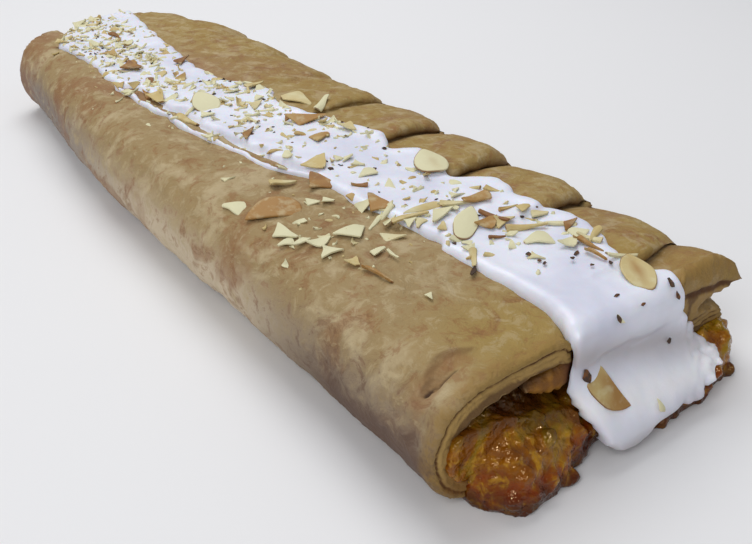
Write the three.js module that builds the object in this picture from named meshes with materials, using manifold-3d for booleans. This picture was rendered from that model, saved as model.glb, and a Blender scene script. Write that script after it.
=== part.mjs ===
// A long pastry bar: a sheet of laminated dough wrapped round a fruit and custard filling.
// One side of the sheet is a plain rounded flap. The other is slit into tabs, which overlap like
// shingles. Icing covers the seam between them, runs down over the near end and holds sliced almonds.
import * as THREE from 'three';
import { mergeVertices } from 'three/addons/utils/BufferGeometryUtils.js';
import Module from 'manifold-3d';

const wasm = await Module();
wasm.setup();

// Driving dimensions, in millimetres. X runs across the bar with the tabs at +X, Y runs along it
// from the near end, and Z is up.
const LENGTH = 325;
const LEFT_HALF = 58.3;
const RIGHT_HALF = 57.5;
const CROWN = 36;
const SHEET = 5;
const GAP = 0.3;
const SLIT_COUNT = 8;
const FIRST_SLIT = 20.5;
const TAB_PITCH = 36.3;
const SLIT_SLANT = 6.5;
const TAB_LIFT = 4;
const TAB_BULGE = 2.2;
const TAB_ARCH = 32;
const ICING_THICK = 2.6;
const ALMOND_THICK = 1.3;

// How the outline changes along the bar, as [place along Y, size] stops.
const LEFT_EDGE = [[170, LEFT_HALF], [LENGTH, 47]];
const RIGHT_EDGE = [[284, RIGHT_HALF], [LENGTH, 48]];
const CROWN_LINE = [[0, CROWN], [LENGTH, 33.5]];
const TAB_EDGE_LINE = [[6, 25], [40, 27.5]];
const LIP_LINE = [[0, -12], [14, -7], [50, -7], [180, -22]];
const HEEL_LINE = [[0, 27], [14, 25], [45, 22], [85, 14], [140, 11], [205, 1]];
const ICING_LEFT = [[0, -15], [12, -10], [50, -12], [90, -17], [104, -16], [130, -26], [170, -31],
  [220, -34], [260, -31], [LENGTH, -33]];
const ICING_RIGHT = [[0, 27], [10, 32], [25, 30], [42, 34], [58, 26], [72, 30], [84, 20], [106, 26],
  [112, 18], [126, 23], [150, 16], [172, 11], [190, 15], [208, 5], [235, 5], [265, 9], [LENGTH, 17]];

const { lerp, clamp, smoothstep, degToRad } = THREE.MathUtils;

// A size that changes with place, through a few stops joined by smooth steps.
function along(stops, place) {
  const next = stops.findIndex(([at]) => at >= place);
  if (next === 0) return stops[0][1];
  if (next < 0) return stops.at(-1)[1];
  const [from, before] = stops[next - 1];
  const [to, after] = stops[next];
  return lerp(before, after, smoothstep(place, from, to));
}

// Repeatable chance between 0 and 1.
function chance(seed) {
  let state = seed;
  return () => {
    state = (state * 16807) % 2147483647;
    return state / 2147483647;
  };
}

// Solids

function toManifold(positions, triangles) {
  return new wasm.Manifold(new wasm.Mesh({
    numProp: 3,
    vertProperties: new Float32Array(positions.flat()),
    triVerts: new Uint32Array(triangles.flat()),
  }));
}

function fromGeometry(geometry) {
  const bare = geometry.clone();
  bare.deleteAttribute('normal');
  bare.deleteAttribute('uv');
  const merged = mergeVertices(bare, 1e-4);
  return new wasm.Manifold(new wasm.Mesh({
    numProp: 3,
    vertProperties: new Float32Array(merged.attributes.position.array),
    triVerts: new Uint32Array(merged.index.array),
  }));
}

function toGeometry(solid) {
  const { vertProperties, triVerts } = solid.getMesh();
  const geometry = new THREE.BufferGeometry();
  geometry.setAttribute('position', new THREE.Float32BufferAttribute(vertProperties, 3));
  geometry.setIndex(new THREE.Uint32BufferAttribute(triVerts, 1));
  geometry.computeVertexNormals();
  return geometry;
}

const turns = ([ax, ay], [bx, by], [cx, cy]) => (bx - ax) * (cy - ay) - (by - ay) * (cx - ax);

function ringArea(ring) {
  return ring.reduce((sum, [x, y], i) => {
    const [nextX, nextY] = ring[(i + 1) % ring.length];
    return sum + (x * nextY - nextX * y) / 2;
  }, 0);
}

// A closed solid through rings of equally many [x, y, z] points. flat says which two of the three
// the end faces are filled in.
function loft(rings, flat) {
  const count = rings[0].length;
  const triangles = [];
  for (let ring = 0; ring + 1 < rings.length; ring++) {
    for (let i = 0; i < count; i++) {
      const [a, b] = [ring * count + i, ring * count + (i + 1) % count];
      triangles.push([a, b, b + count], [a, b + count, a + count]);
    }
  }
  for (const last of [false, true]) {
    const first = last ? (rings.length - 1) * count : 0;
    const face = rings.at(last ? -1 : 0).map((point) => flat.map((axis) => point[axis]));
    const sense = Math.sign(ringArea(face)) * (last ? 1 : -1);
    const contour = face.map(([x, y]) => new THREE.Vector2(x, y));
    for (const [a, b, c] of THREE.ShapeUtils.triangulateShape(contour, [])) {
      const ordered = Math.sign(turns(face[a], face[b], face[c])) === sense ? [a, b, c] : [a, c, b];
      triangles.push(ordered.map((index) => first + index));
    }
  }
  const points = rings.flat();
  const volume = triangles.reduce((sum, corners) => {
    const [a, b, c] = corners.map((index) => new THREE.Vector3(...points[index]));
    return sum + a.dot(b.cross(c));
  }, 0);
  return toManifold(points, volume > 0 ? triangles : triangles.map(([a, b, c]) => [a, c, b]));
}

// A flat ring of [x, z] points moved outwards by some distance, or inwards by a negative one.
function grown(ring, distance) {
  const side = Math.sign(ringArea(ring)) * distance;
  return ring.map((point, i) => {
    const before = ring.at(i - 1);
    const after = ring[(i + 1) % ring.length];
    const one = new THREE.Vector2(point[1] - before[1], before[0] - point[0]).normalize();
    const two = new THREE.Vector2(after[1] - point[1], point[0] - after[0]).normalize();
    const middle = one.clone().add(two).normalize();
    const reach = side / Math.max(0.5, middle.dot(one));
    return [point[0] + middle.x * reach, point[1] + middle.y * reach];
  });
}

const largest = (solid) => solid.decompose().sort((a, b) => b.volume() - a.volume())[0];

// The section of the wrapped sheet

const SIDE_ROUND = 2 / 2.4;
const SIDE_MIDDLE = 17.3;
const SIDE_REACH = 22.3;

// The plain side is an ellipse, squarish above its middle, from its foot to where the crown starts.
function plainSide(y, inset, from, to, count) {
  const narrow = along(LEFT_EDGE, y) / LEFT_HALF;
  const low = along(CROWN_LINE, y) / CROWN;
  const middle = [(SIDE_REACH - LEFT_HALF) * narrow, SIDE_MIDDLE * low];
  const reach = SIDE_REACH * narrow - inset;
  const rise = (CROWN - SIDE_MIDDLE) * low - 1.3 * inset;
  return Array.from({ length: count }, (_, i) => {
    const angle = degToRad(lerp(from, to, i / (count - 1)));
    const power = angle > 0 ? SIDE_ROUND : 1;
    const out = Math.abs(Math.cos(angle)) ** power;
    const up = Math.sign(angle) * Math.abs(Math.sin(angle)) ** power;
    return [middle[0] - reach * out, Math.max(0, middle[1] + rise * up)];
  });
}

const flapStart = (y) => (SIDE_REACH - LEFT_HALF) * along(LEFT_EDGE, y) / LEFT_HALF;

function flapHeight(x, y) {
  const crown = along(CROWN_LINE, y);
  const start = flapStart(y);
  if (x < start) {
    const low = crown / CROWN;
    const out = Math.min(1, (start - x) / (SIDE_REACH * along(LEFT_EDGE, y) / LEFT_HALF));
    const up = (1 - out ** (2 / SIDE_ROUND)) ** (SIDE_ROUND / 2);
    return low * (SIDE_MIDDLE + (CROWN - SIDE_MIDDLE) * up);
  }
  return crown - 0.8 * ((x - start) / (along(LIP_LINE, y) - start)) ** 2;
}

// Each slit starts a tab, whose near edge stands over the tab before it and whose far edge is low.
const slits = Array.from({ length: SLIT_COUNT }, (_, i) => FIRST_SLIT + TAB_PITCH * i);

function tabShare(y) {
  const passed = slits.filter((slit) => slit <= y).length;
  return Math.min(1, (y - FIRST_SLIT) / TAB_PITCH - (passed - 1));
}

function tabLift(y) {
  const share = tabShare(y);
  const fade = lerp(1, 0.45, clamp(y / LENGTH, 0, 1));
  const hooked = 1 - 0.3 * (1 - smoothstep(share, 0, 0.09));
  return fade * (TAB_LIFT * hooked * (1 - share) ** 0.9 - 0.25 * TAB_LIFT - 0.8 * smoothstep(share, 0.9, 1));
}

function tabEdge(y) {
  const bulge = Math.max(0, Math.sin(Math.PI * tabShare(y))) ** 0.6;
  return along(RIGHT_EDGE, y) + TAB_BULGE * (2 * bulge - 1);
}

// How much of the lift shows, from the outer edge of a tab inwards to the seam.
function liftShare(inward) {
  return lerp(0.6, 1, smoothstep(inward, 0, 6)) * lerp(1, 0.35, smoothstep(inward, 26, 42));
}

function tabHeight(x, y) {
  const inward = tabEdge(y) - x;
  const arch = 1 - (1 - clamp(inward / TAB_ARCH, 0, 1)) ** 2.2;
  const edge = along(TAB_EDGE_LINE, y);
  return along(CROWN_LINE, y) / CROWN * lerp(edge, CROWN - 1.2, arch) + tabLift(y) * liftShare(inward);
}

// Points along a level stretch of a ring, without the last one.
const level = ([fromX, z], [toX]) => [0, 0.25, 0.5, 0.75].map((share) => [lerp(fromX, toX, share), z]);

const FLAP_STEPS = 5;
const TAB_STEPS = [0.8, 0.6, 0.42, 0.27, 0.15, 0.07, 0.02, 0];
const LIP_MARGIN = 2;
const HEEL_MARGIN = 4;

// The outer ring at one station: plain side, crown of the flap, seam, tabs, tucked wall and base.
function outerRing(y) {
  const lip = along(LIP_LINE, y);
  const heel = along(HEEL_LINE, y);
  const start = flapStart(y);
  const edge = tabEdge(y);
  const wall = along(RIGHT_EDGE, y);
  const ring = plainSide(y, 0, -74, 90, 13);
  for (let i = 1; i <= FLAP_STEPS; i++) {
    const share = i / FLAP_STEPS;
    const x = lerp(start, lip, share);
    ring.push([x, flapHeight(x, y) - 3 * smoothstep(share, 0.75, 1)]);
  }
  ring.push([lip + LIP_MARGIN, 30.5], [heel - HEEL_MARGIN, 30.5]);
  ring.push([heel - HEEL_MARGIN, tabHeight(heel, y) - 1]);
  for (const share of TAB_STEPS) {
    const x = edge - share * (edge - heel);
    ring.push([x, tabHeight(x, y)]);
  }
  const open = lerp(1, 0.35, smoothstep(y, 3, 22));
  ring.push([edge - 1.8, tabHeight(edge, y) - 1.8], [wall - 4.5 - 8 * open, 22.3]);
  ring.push([wall - 4, 18], [wall - 0.8, 12], [wall - 2, 5], ...level([wall - 9, 0], ring[0]));
  return ring;
}

// The hollow at one station: round under the plain flap, a fold of dough under its lip, the seam
// up to the given top, and a pocket under the tabs, whose dough is thicker near the cut end.
function hollowRing(y, top) {
  const lip = along(LIP_LINE, y);
  const heel = along(HEEL_LINE, y);
  const wall = along(RIGHT_EDGE, y);
  const low = along(CROWN_LINE, y) / CROWN;
  const fold = lerp(15, 5, smoothstep(y, 20, 120));
  const deep = smoothstep(y, 4, 30);
  const ring = plainSide(y, SHEET, -90, 90, 9);
  ring.push([lip - fold, 29.3 * low], [lip - fold + 1.5, 24], [lip - 0.45 * fold, 20.5], [lip, 19]);
  ring.push([lip, top], [heel, top]);
  ring.push([heel, lerp(14, 29.5 * low, deep)], [lerp(31, heel + 6, deep), lerp(11, 27 * low, deep)]);
  ring.push([lerp(40, wall - 14, deep), lerp(10.5, 23.5 * low, deep)]);
  ring.push([lerp(47, wall - 6.5, deep), lerp(10, 16, deep)]);
  ring.push([wall - 7, 8.5], ...level([wall - 10, 5], ring[0]));
  return ring;
}

// A crease between the flap and the fold under its lip, which opens at the near end.
function crease() {
  const lip = along(LIP_LINE, 0);
  const mouth = [[lip - 2.5, 27.4], [lip - 17, 28.8], [lip - 17, 26.4]];
  const inner = [[lip - 10, 27.6], [lip - 16, 28], [lip - 16, 27.4]];
  return loft([mouth.map(([x, z]) => [x, -1, z]), inner.map(([x, z]) => [x, 16, z])], [0, 2]);
}

// The far end is cut at a slant, so points near it shift along the bar with their place across it.
const slantAt = (x) => 0.22 * x - 0.003 * x * x;
const run = (x, y) => y + slantAt(x) * smoothstep(y, LENGTH - 70, LENGTH);
const place = (ring, y) => ring.map(([x, z]) => [x, run(x, y), z]);

// The slits lean, so the stations of the tabs lean with them, except at the two ends.
function leaning(ring, y) {
  const between = smoothstep(y, 0, 14) * (1 - smoothstep(y, LENGTH - 16, LENGTH));
  return ring.map(([x, z]) => {
    const inward = clamp((RIGHT_HALF - x) / 33, 0, 1);
    const onTab = x > along(HEEL_LINE, y) - HEEL_MARGIN - 1 && z > 22.5 ? 1 : 0;
    return [x, run(x, y) - SLIT_SLANT * inward * between * onTab, z];
  });
}

const SLIT_STATIONS = [-1.2, 0.4, 3.2, 0.35 * TAB_PITCH, 0.7 * TAB_PITCH];
const outerStations = [
  0,
  6,
  13,
  ...slits.flatMap((slit) => SLIT_STATIONS.map((step) => slit + step)),
  314,
  LENGTH,
];

function wrap(extra) {
  const rings = outerStations.map((y, i) => {
    const ends = i === 0 ? -extra : i === outerStations.length - 1 ? extra : 0;
    return leaning(grown(outerRing(y), extra), y).map(([x, along, z]) => [x, along + ends, z]);
  });
  return loft(rings, [0, 2]);
}

const HOLLOW_STATIONS = [0, 4, 9, 14, 22, 32, 50, 75, 105, 140, 180, 220, 260, 295, LENGTH];

function hollow(extra) {
  const rings = HOLLOW_STATIONS.map((y) => place(grown(hollowRing(y, 60), extra), y));
  const before = rings[0].map(([x, , z]) => [x, -20, z]);
  const after = rings.at(-1).map(([x, y, z]) => [x, y + 20, z]);
  return loft([before, ...rings, after], [0, 2]);
}

// The filling: it runs through the hollow, has sunk at the near end, and oozes out at both ends.

const FILLING_TOP = 29.8;
const CORE_PROUD = 1.5;
const SUNK_LINE = [[-50, 24], [-40, 24], [-25, 18], [-8, 13], [50, 12]];
const NEAR_OOZE = [[-46, 1], [-43, 7], [-38, 13], [-28, 12.5], [-16, 8], [-3, 4], [5, 6], [12, 10.5],
  [33, 11], [46, 8], [57, 2]];
const NEAR_RISE = [[-46, 9], [-38, 19], [-20, 16], [0, 11], [30, 13], [48, 15], [57, 8]];
const FAR_OOZE = [[-34, 0.8], [-22, 5], [0, 3], [22, 5.5], [38, 0.8]];
const FAR_RISE = [[-34, 8], [-20, 15], [20, 14], [38, 7]];
const OOZE_ARC = 7;
const OOZE_BACK = 0.4;

function sunk([x, z], y, extra) {
  const low = along(SUNK_LINE, x) + extra;
  return [x, z > low ? lerp(low, z, lerp(0.06, 1, smoothstep(y, 1, 15))) : z];
}

function core(extra) {
  const rings = HOLLOW_STATIONS.map((y) => {
    const ring = grown(hollowRing(y, FILLING_TOP + GAP), extra - GAP);
    return place(ring.map((point) => sunk(point, y, extra)), y);
  });
  const before = rings[0].map(([x, , z]) => [x, -CORE_PROUD - extra, z]);
  const after = rings.at(-1).map(([x, y, z]) => [x, y + CORE_PROUD + extra, z]);
  return loft([before, ...rings, after], [0, 2]);
}

// A rounded bead of filling in front of an end face, from its foot on the table to its top.
function ooze(reach, rise, face, sense, extra) {
  const [from, to] = [reach[0][0], reach.at(-1)[0]];
  const count = Math.round((to - from) / 5);
  const rings = Array.from({ length: count + 1 }, (_, i) => {
    const x = lerp(from, to, i / count);
    const outer = i === 0 ? x - extra : i === count ? x + extra : x;
    const back = face(x) + sense * (OOZE_BACK - extra);
    const depth = along(reach, x) + 2 * extra;
    const top = along(rise, x) + extra;
    const front = Array.from({ length: OOZE_ARC + 1 }, (_, k) => {
      const angle = Math.PI / 2 * k / OOZE_ARC;
      return [outer, back + sense * depth * Math.cos(angle) ** 0.9, top * Math.sin(angle)];
    });
    return [...front, [outer, back, 0]];
  });
  return loft(rings, [1, 2]);
}

function filling(extra) {
  return wasm.Manifold.union([
    core(extra),
    ooze(NEAR_OOZE, NEAR_RISE, () => 0, -1, extra),
    ooze(FAR_OOZE, FAR_RISE, (x) => LENGTH + slantAt(x), 1, extra),
  ]);
}

// The icing: a strip along the seam, and a curtain of it that has run down over the near end.

const ICING_ACROSS = [-1, -0.97, -0.86, -0.6, -0.25, 0.15, 0.5, 0.8, 0.95, 1];
const ICING_STATIONS = [-2.2, -1.6, -0.4, 1.6, 5, 10, 16, 23,
  ...Array.from({ length: 32 }, (_, i) => 31 + 9 * i), 318, 322, LENGTH - 1];
const ICING_ROLL = 6;
const CURTAIN_TOP = [[-14.5, 33], [24, 33.5], [28, 25], [32, 17], [38, 14]];
const CURTAIN_FOOT = [[-14.5, 19], [-11.5, 12], [-9, 6], [-4, 2.2], [0, 1.5], [4, 2.2], [9, 4.6], [26, 6],
  [32, 9.5], [38, 12]];
const CURTAIN_FRONT = [[0, 13.8], [6, 12.6], [10, 11], [15, 8], [20, 5], [27, 3.2], [33, 1.6]];
const CURTAIN_RIGHT = [[0, 12.5], [10, 9.6], [15, 7], [21, 4], [33, 1.6]];

// The even surface that the icing follows: the flap, a straight line over the seam and the tabs.
function seamHeight(x, y) {
  const lip = along(LIP_LINE, y);
  const heel = along(HEEL_LINE, y);
  const tabs = (at) => tabHeight(at, y) + (0.5 * TAB_LIFT - tabLift(y)) * liftShare(tabEdge(y) - at);
  if (x < lip) return flapHeight(x, y);
  if (x > heel) return tabs(x);
  return lerp(flapHeight(lip, y), tabs(heel), (x - lip) / (heel - lip));
}

function icingHeight(x, y) {
  const left = along(ICING_LEFT, y);
  const right = along(ICING_RIGHT, y);
  const across = clamp((2 * x - left - right) / (right - left), -1, 1);
  const thick = ICING_THICK * (0.45 + 0.55 * (1 - across ** 4)) + 0.5 * Math.sin(y / 9) * (1 - across ** 2);
  const fromEnd = clamp((y + 2.2) / ICING_ROLL, 0, 1);
  const rolled = ICING_ROLL * (1 - Math.sqrt(1 - (1 - fromEnd) ** 2));
  const toFar = 1.5 * smoothstep(y, LENGTH - 6, LENGTH);
  return seamHeight(x, clamp(y, 0, LENGTH)) + thick - rolled - toFar;
}

function strip() {
  const rings = ICING_STATIONS.map((y) => {
    const left = along(ICING_LEFT, y);
    const right = along(ICING_RIGHT, y);
    const top = ICING_ACROSS.map((share) => {
      const x = lerp(left, right, (share + 1) / 2);
      return [x, run(x, y), icingHeight(x, y)];
    });
    const foot = Math.min(FILLING_TOP + GAP, icingHeight((left + right) / 2, y) - 1);
    return [...top, [right, run(right, y), foot], [left, run(left, y), foot]];
  });
  return loft(rings, [0, 2]);
}

function curtainDepth(x, z) {
  const depth = lerp(along(CURTAIN_FRONT, z), along(CURTAIN_RIGHT, z), smoothstep(x, 14, 34));
  const toLeft = Math.sqrt(clamp((x + 15) / 5, 0, 1));
  return depth * lerp(0.35, 1, toLeft);
}

function curtain() {
  const rings = Array.from({ length: 22 }, (_, i) => {
    const x = lerp(-14.5, 38, i / 21);
    const foot = along(CURTAIN_FOOT, x);
    const top = along(CURTAIN_TOP, x);
    const front = [0, 0.08, 0.2, 0.35, 0.5, 0.65, 0.8, 1].map((share) => {
      const z = lerp(foot, top, share);
      const tucked = share === 0 ? 1.4 : 0;
      return [x, Math.min(-1, tucked - curtainDepth(x, z)), z];
    });
    return [...front, [x, -0.35, top], [x, -0.35, foot]];
  });
  return loft(rings, [1, 2]);
}

// Sliced almonds: whole slices are drops with one pointed end, and chips are broken bits of them.

function almond(length, width, broken) {
  const shape = new THREE.Shape();
  shape.moveTo(-length / 2, 0);
  shape.quadraticCurveTo(-length / 2, -width / 2, 0, -width / 2);
  if (broken) {
    shape.lineTo(length / 2, -width / 5);
    shape.lineTo(length / 3, width / 2);
  } else {
    shape.quadraticCurveTo(length / 3, -width / 2, length / 2, 0);
    shape.quadraticCurveTo(length / 3, width / 2, 0, width / 2);
  }
  shape.quadraticCurveTo(-length / 2, width / 2, -length / 2, 0);
  const options = { depth: ALMOND_THICK, bevelEnabled: false, curveSegments: 2 };
  return new THREE.ExtrudeGeometry(shape, options).translate(0, 0, -ALMOND_THICK / 2);
}

function laid([x, y, length, width, turn, broken], height, random) {
  const step = 2;
  const slopeX = (height(x + step, y) - height(x - step, y)) / (2 * step);
  const slopeY = (height(x, y + step) - height(x, y - step)) / (2 * step);
  const up = new THREE.Vector3(-slopeX, -slopeY, 1).normalize();
  const lean = new THREE.Vector3(random() - 0.5, random() - 0.5, 0).multiplyScalar(0.35);
  const upright = new THREE.Vector3(0, 0, 1);
  const geometry = almond(length, width, broken);
  geometry.rotateZ(degToRad(turn));
  geometry.applyQuaternion(new THREE.Quaternion().setFromUnitVectors(upright, up.add(lean).normalize()));
  return fromGeometry(geometry.translate(x, run(x, y), height(x, y) + 0.3));
}

// Slices and chips that are seen one by one: [x, y, length, width, turn in degrees, broken].
const ICING_ALMONDS = [
  [19, 13, 18, 11, -35, false],
  [17, 91, 16, 13, 50, false],
  [-1, 54, 14, 9, 60, false],
  [5, 66, 22, 6, 30, true],
  [11, 38, 11, 8, 10, true],
  [22, 27, 15, 5, 20, true],
  [20, 50, 13, 8, 0, true],
  [-9, 74, 12, 8, 70, true],
  [-16, 183, 13, 10, 45, false],
  [4, 146, 13, 9, 20, true],
];
const FLAP_ALMONDS = [
  [-39, 98, 18, 10, 60, true],
  [-44, 109, 10, 7, 20, true],
  [-42, 84, 11, 7, 0, true],
  [-31, 70, 12, 7, 40, true],
  [-40, 69, 8, 6, 90, true],
  [-26, 58, 10, 6, 30, true],
];
const STREWN_COUNT = 22;
const STREWN_FROM = 36;
const STREWN_TO = 300;

function icingAlmonds() {
  const random = chance(7);
  const strewn = Array.from({ length: STREWN_COUNT }, (_, i) => {
    const y = lerp(STREWN_FROM, STREWN_TO, (i + random()) / STREWN_COUNT);
    const x = lerp(along(ICING_LEFT, y) + 5, along(ICING_RIGHT, y) - 5, random());
    return [x, y, lerp(8, 13, random()), lerp(5, 8, random()), 360 * random(), random() < 0.7];
  });
  return [...ICING_ALMONDS, ...strewn].map((slice) => laid(slice, icingHeight, random));
}

function flapAlmonds() {
  const random = chance(11);
  return FLAP_ALMONDS.map((slice) => laid(slice, flapHeight, random));
}

// Half a slice stands flat on the front of the curtain.
function curtainAlmond() {
  const [x, z] = [-6, 18.5];
  const geometry = almond(16, 10, true).rotateZ(degToRad(-70)).rotateX(degToRad(62));
  return fromGeometry(geometry.translate(x, -curtainDepth(x, z) - 0.2, z));
}

// The three pieces

function makePastry() {
  const bare = wrap(0).subtract(hollow(0)).subtract(crease());
  return largest(wasm.Manifold.union([bare, ...flapAlmonds()]));
}

function makeIcing() {
  const poured = wasm.Manifold.union([strip(), curtain(), curtainAlmond(), ...icingAlmonds()]);
  const dough = wrap(GAP).subtract(hollow(-GAP));
  return largest(poured.subtract(dough).subtract(filling(GAP)));
}

function piece(name, solid, color, roughness) {
  const material = new THREE.MeshStandardMaterial({ color, roughness, metalness: 0 });
  const mesh = new THREE.Mesh(toGeometry(solid), material);
  mesh.name = name;
  return mesh;
}

const bar = new THREE.Group();
bar.add(piece('pastry', makePastry(), 0xc09a62, 0.75));
bar.add(piece('filling', largest(filling(0)), 0x9a5a1c, 0.3));
bar.add(piece('icing', makeIcing(), 0xe8e8f2, 0.45));

// The origin is the middle of the bar's footprint, on the surface it rests on.
const box = new THREE.Box3().setFromObject(bar);
const middle = box.getCenter(new THREE.Vector3());
bar.position.set(-middle.x, -middle.y, -box.min.z);

export default bar;
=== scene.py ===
"""A long danish pastry bar: laminated dough wrapped round fruit and custard filling, with one plain
flap and one side of overlapping cut tabs, icing over the seam and sliced almonds on top."""
import math

import bmesh
import bpy
import numpy as np
from mathutils import Euler, Matrix, Vector, noise
from mathutils.bvhtree import BVHTree
from mathutils.geometry import delaunay_2d_cdt


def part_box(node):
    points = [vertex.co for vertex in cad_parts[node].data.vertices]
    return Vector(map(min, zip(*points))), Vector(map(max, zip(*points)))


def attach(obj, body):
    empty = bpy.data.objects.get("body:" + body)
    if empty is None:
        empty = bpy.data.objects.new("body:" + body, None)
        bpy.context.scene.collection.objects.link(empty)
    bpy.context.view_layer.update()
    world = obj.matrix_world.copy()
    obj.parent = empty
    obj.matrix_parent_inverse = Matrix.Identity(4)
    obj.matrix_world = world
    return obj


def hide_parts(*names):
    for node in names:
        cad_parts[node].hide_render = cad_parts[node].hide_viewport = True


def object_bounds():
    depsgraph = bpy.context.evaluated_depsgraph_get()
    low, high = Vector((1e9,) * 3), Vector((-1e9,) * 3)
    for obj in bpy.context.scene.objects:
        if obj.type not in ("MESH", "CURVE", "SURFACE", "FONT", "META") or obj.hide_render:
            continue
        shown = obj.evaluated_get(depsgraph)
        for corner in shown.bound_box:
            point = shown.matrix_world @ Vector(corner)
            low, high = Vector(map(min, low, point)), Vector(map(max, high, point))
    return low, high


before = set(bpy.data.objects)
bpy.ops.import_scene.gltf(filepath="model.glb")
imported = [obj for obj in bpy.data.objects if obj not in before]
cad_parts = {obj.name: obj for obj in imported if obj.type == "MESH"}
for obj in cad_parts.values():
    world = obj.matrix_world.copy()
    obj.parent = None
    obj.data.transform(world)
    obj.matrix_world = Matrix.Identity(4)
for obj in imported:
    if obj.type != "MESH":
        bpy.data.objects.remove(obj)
cad_box = [list(corner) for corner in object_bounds()]

# The dough sheet. One sheet of laminated dough goes under the filling, rolls up over the plain side
# as a rounded flap that folds under at its lip, and comes up the other side as a row of cut tabs.
# All lengths are the bar's own millimetres: X across towards the tabs, Y from the near end, Z up.
LENGTH = 325
LEFT_HALF, RIGHT_HALF = 58.3, 57.5
CROWN = 36
SHEET = 5
SLIT_COUNT, FIRST_SLIT, TAB_PITCH, SLIT_SLANT, SLIT_LENGTH = 8, 20.5, 36.3, 6.5, 33
TAB_BULGE, TAB_ARCH = 2.2, 32
LEFT_EDGE = [(0, LEFT_HALF), (170, LEFT_HALF), (LENGTH, 47)]
RIGHT_EDGE = [(0, RIGHT_HALF), (284, RIGHT_HALF), (LENGTH, 48)]
CROWN_LINE = [(0, CROWN), (LENGTH, 33.5)]
TAB_EDGE_LINE = [(6, 25), (40, 27.5)]
LIP_LINE = [(0, -12), (14, -7), (50, -7), (180, -22)]
HEEL_LINE = [(0, 27), (5, 26), (11, 18), (24, 18), (45, 22), (85, 14), (140, 11), (205, 1)]
SIDE_ROUND, SIDE_MIDDLE, SIDE_REACH = 2 / 2.4, 17.3, 22.3
CURTAIN_SIDE = 38
# The bar's own zero in the frame is at the cut end of the dough, and this far left of the icing's edge.
BAR_AT = np.array([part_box("icing")[1].x * 1000 - CURTAIN_SIDE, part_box("pastry")[0].y * 1000, 0])
SAME_POINT, BOX_MARGIN = 2e-6, 0.05


def ease(share):
    """A smooth step from 0 to 1 as share goes from 0 to 1."""
    share = np.clip(share, 0, 1)
    return share * share * (3 - 2 * share)


def blend(low, high, share):
    return low + (high - low) * share


def bell(place, middle, width):
    """1 at the middle, and falling off softly to both sides."""
    return np.exp(-((place - middle) / width) ** 2)


def along(stops, place):
    """A size that changes with place, through a few stops joined by smooth steps."""
    at, size = np.array(stops, float).T
    place = np.clip(place, at[0], at[-1])
    step = np.clip(np.searchsorted(at, place, side="right") - 1, 0, len(at) - 2)
    share = ease((place - at[step]) / (at[step + 1] - at[step]))
    return blend(size[step], size[step + 1], share)


def unevenness(points, lump, seed, detail=3):
    """Soft noise of about -1 to 1 at each point, with lumps of about that size."""
    shift = Vector((17.3, 5.1, -9.7)) * seed
    return np.array([noise.fractal(Vector(p) / lump + shift, 1.0, 2.0, detail) for p in points])


def shown(name, data):
    """An object in the scene with this mesh, lamp or lens."""
    made = bpy.data.objects.new(name, data)
    bpy.context.scene.collection.objects.link(made)
    return made


def mark(mesh, name, values):
    """Stores one number at each vertex, for a finish or a node tree to read."""
    layer = mesh.attributes.get(name) or mesh.attributes.new(name, "FLOAT", "POINT")
    layer.data.foreach_set("value", np.asarray(values, float))


def marked(mesh, name):
    found = np.empty(len(mesh.vertices))
    mesh.attributes[name].data.foreach_get("value", found)
    return found


def solid_piece(name, points, faces, marks=None):
    """A piece from points in the bar's millimetres, smooth and facing outwards."""
    mesh = bpy.data.meshes.new(name)
    mesh.from_pydata(((np.asarray(points) + BAR_AT) / 1000).tolist(), [], faces)
    for label, values in (marks or {}).items():
        mark(mesh, label, values)
    work = bmesh.new()
    work.from_mesh(mesh)
    bmesh.ops.remove_doubles(work, verts=work.verts, dist=SAME_POINT)
    bmesh.ops.recalc_face_normals(work, faces=work.faces)
    for face in work.faces:
        face.smooth = True
    work.to_mesh(mesh)
    work.free()
    return shown(name, mesh)


def places(piece):
    """The vertices of a piece, in the bar's millimetres."""
    found = np.empty(len(piece.data.vertices) * 3)
    piece.data.vertices.foreach_get("co", found)
    return found.reshape(-1, 3) * 1000 - BAR_AT


def directions(piece):
    found = np.empty(len(piece.data.vertices) * 3)
    piece.data.vertices.foreach_get("normal", found)
    return found.reshape(-1, 3)


def move_to(piece, points):
    """Sets a piece's vertices, and keeps them on the table and inside the bar's own box."""
    low, high = (np.array(corner) * 1000 - BAR_AT for corner in cad_box)
    inside = np.clip(points, low + (BOX_MARGIN, BOX_MARGIN, 0), high - BOX_MARGIN)
    piece.data.vertices.foreach_set("co", ((inside + BAR_AT) / 1000).ravel())
    piece.data.update()


def lowered(y):
    """The height of the bar as a share of its height at the near end."""
    return along(CROWN_LINE, y) / CROWN


def roominess(y):
    """How high the roll is inside, from 0 at the near end, where it has sunk, to 1 further in."""
    return ease((y - 4) / 26)


def fold_depth(y):
    """How far the flap's lip is folded under itself."""
    return blend(15, 5, ease((y - 20) / 100))


def flap_start(y):
    return (SIDE_REACH - LEFT_HALF) * along(LEFT_EDGE, y) / LEFT_HALF


def flap_height(x, y):
    start = flap_start(y)
    out = np.clip((start - x) / (SIDE_REACH * along(LEFT_EDGE, y) / LEFT_HALF), 0, 1)
    round_up = (1 - out ** (2 / SIDE_ROUND)) ** (SIDE_ROUND / 2)
    side = lowered(y) * blend(SIDE_MIDDLE, CROWN, round_up)
    inward = np.clip((x - start) / (along(LIP_LINE, y) - start), 0, 3)
    return np.where(x < start, side, along(CROWN_LINE, y) - 0.8 * inward**2)


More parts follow.
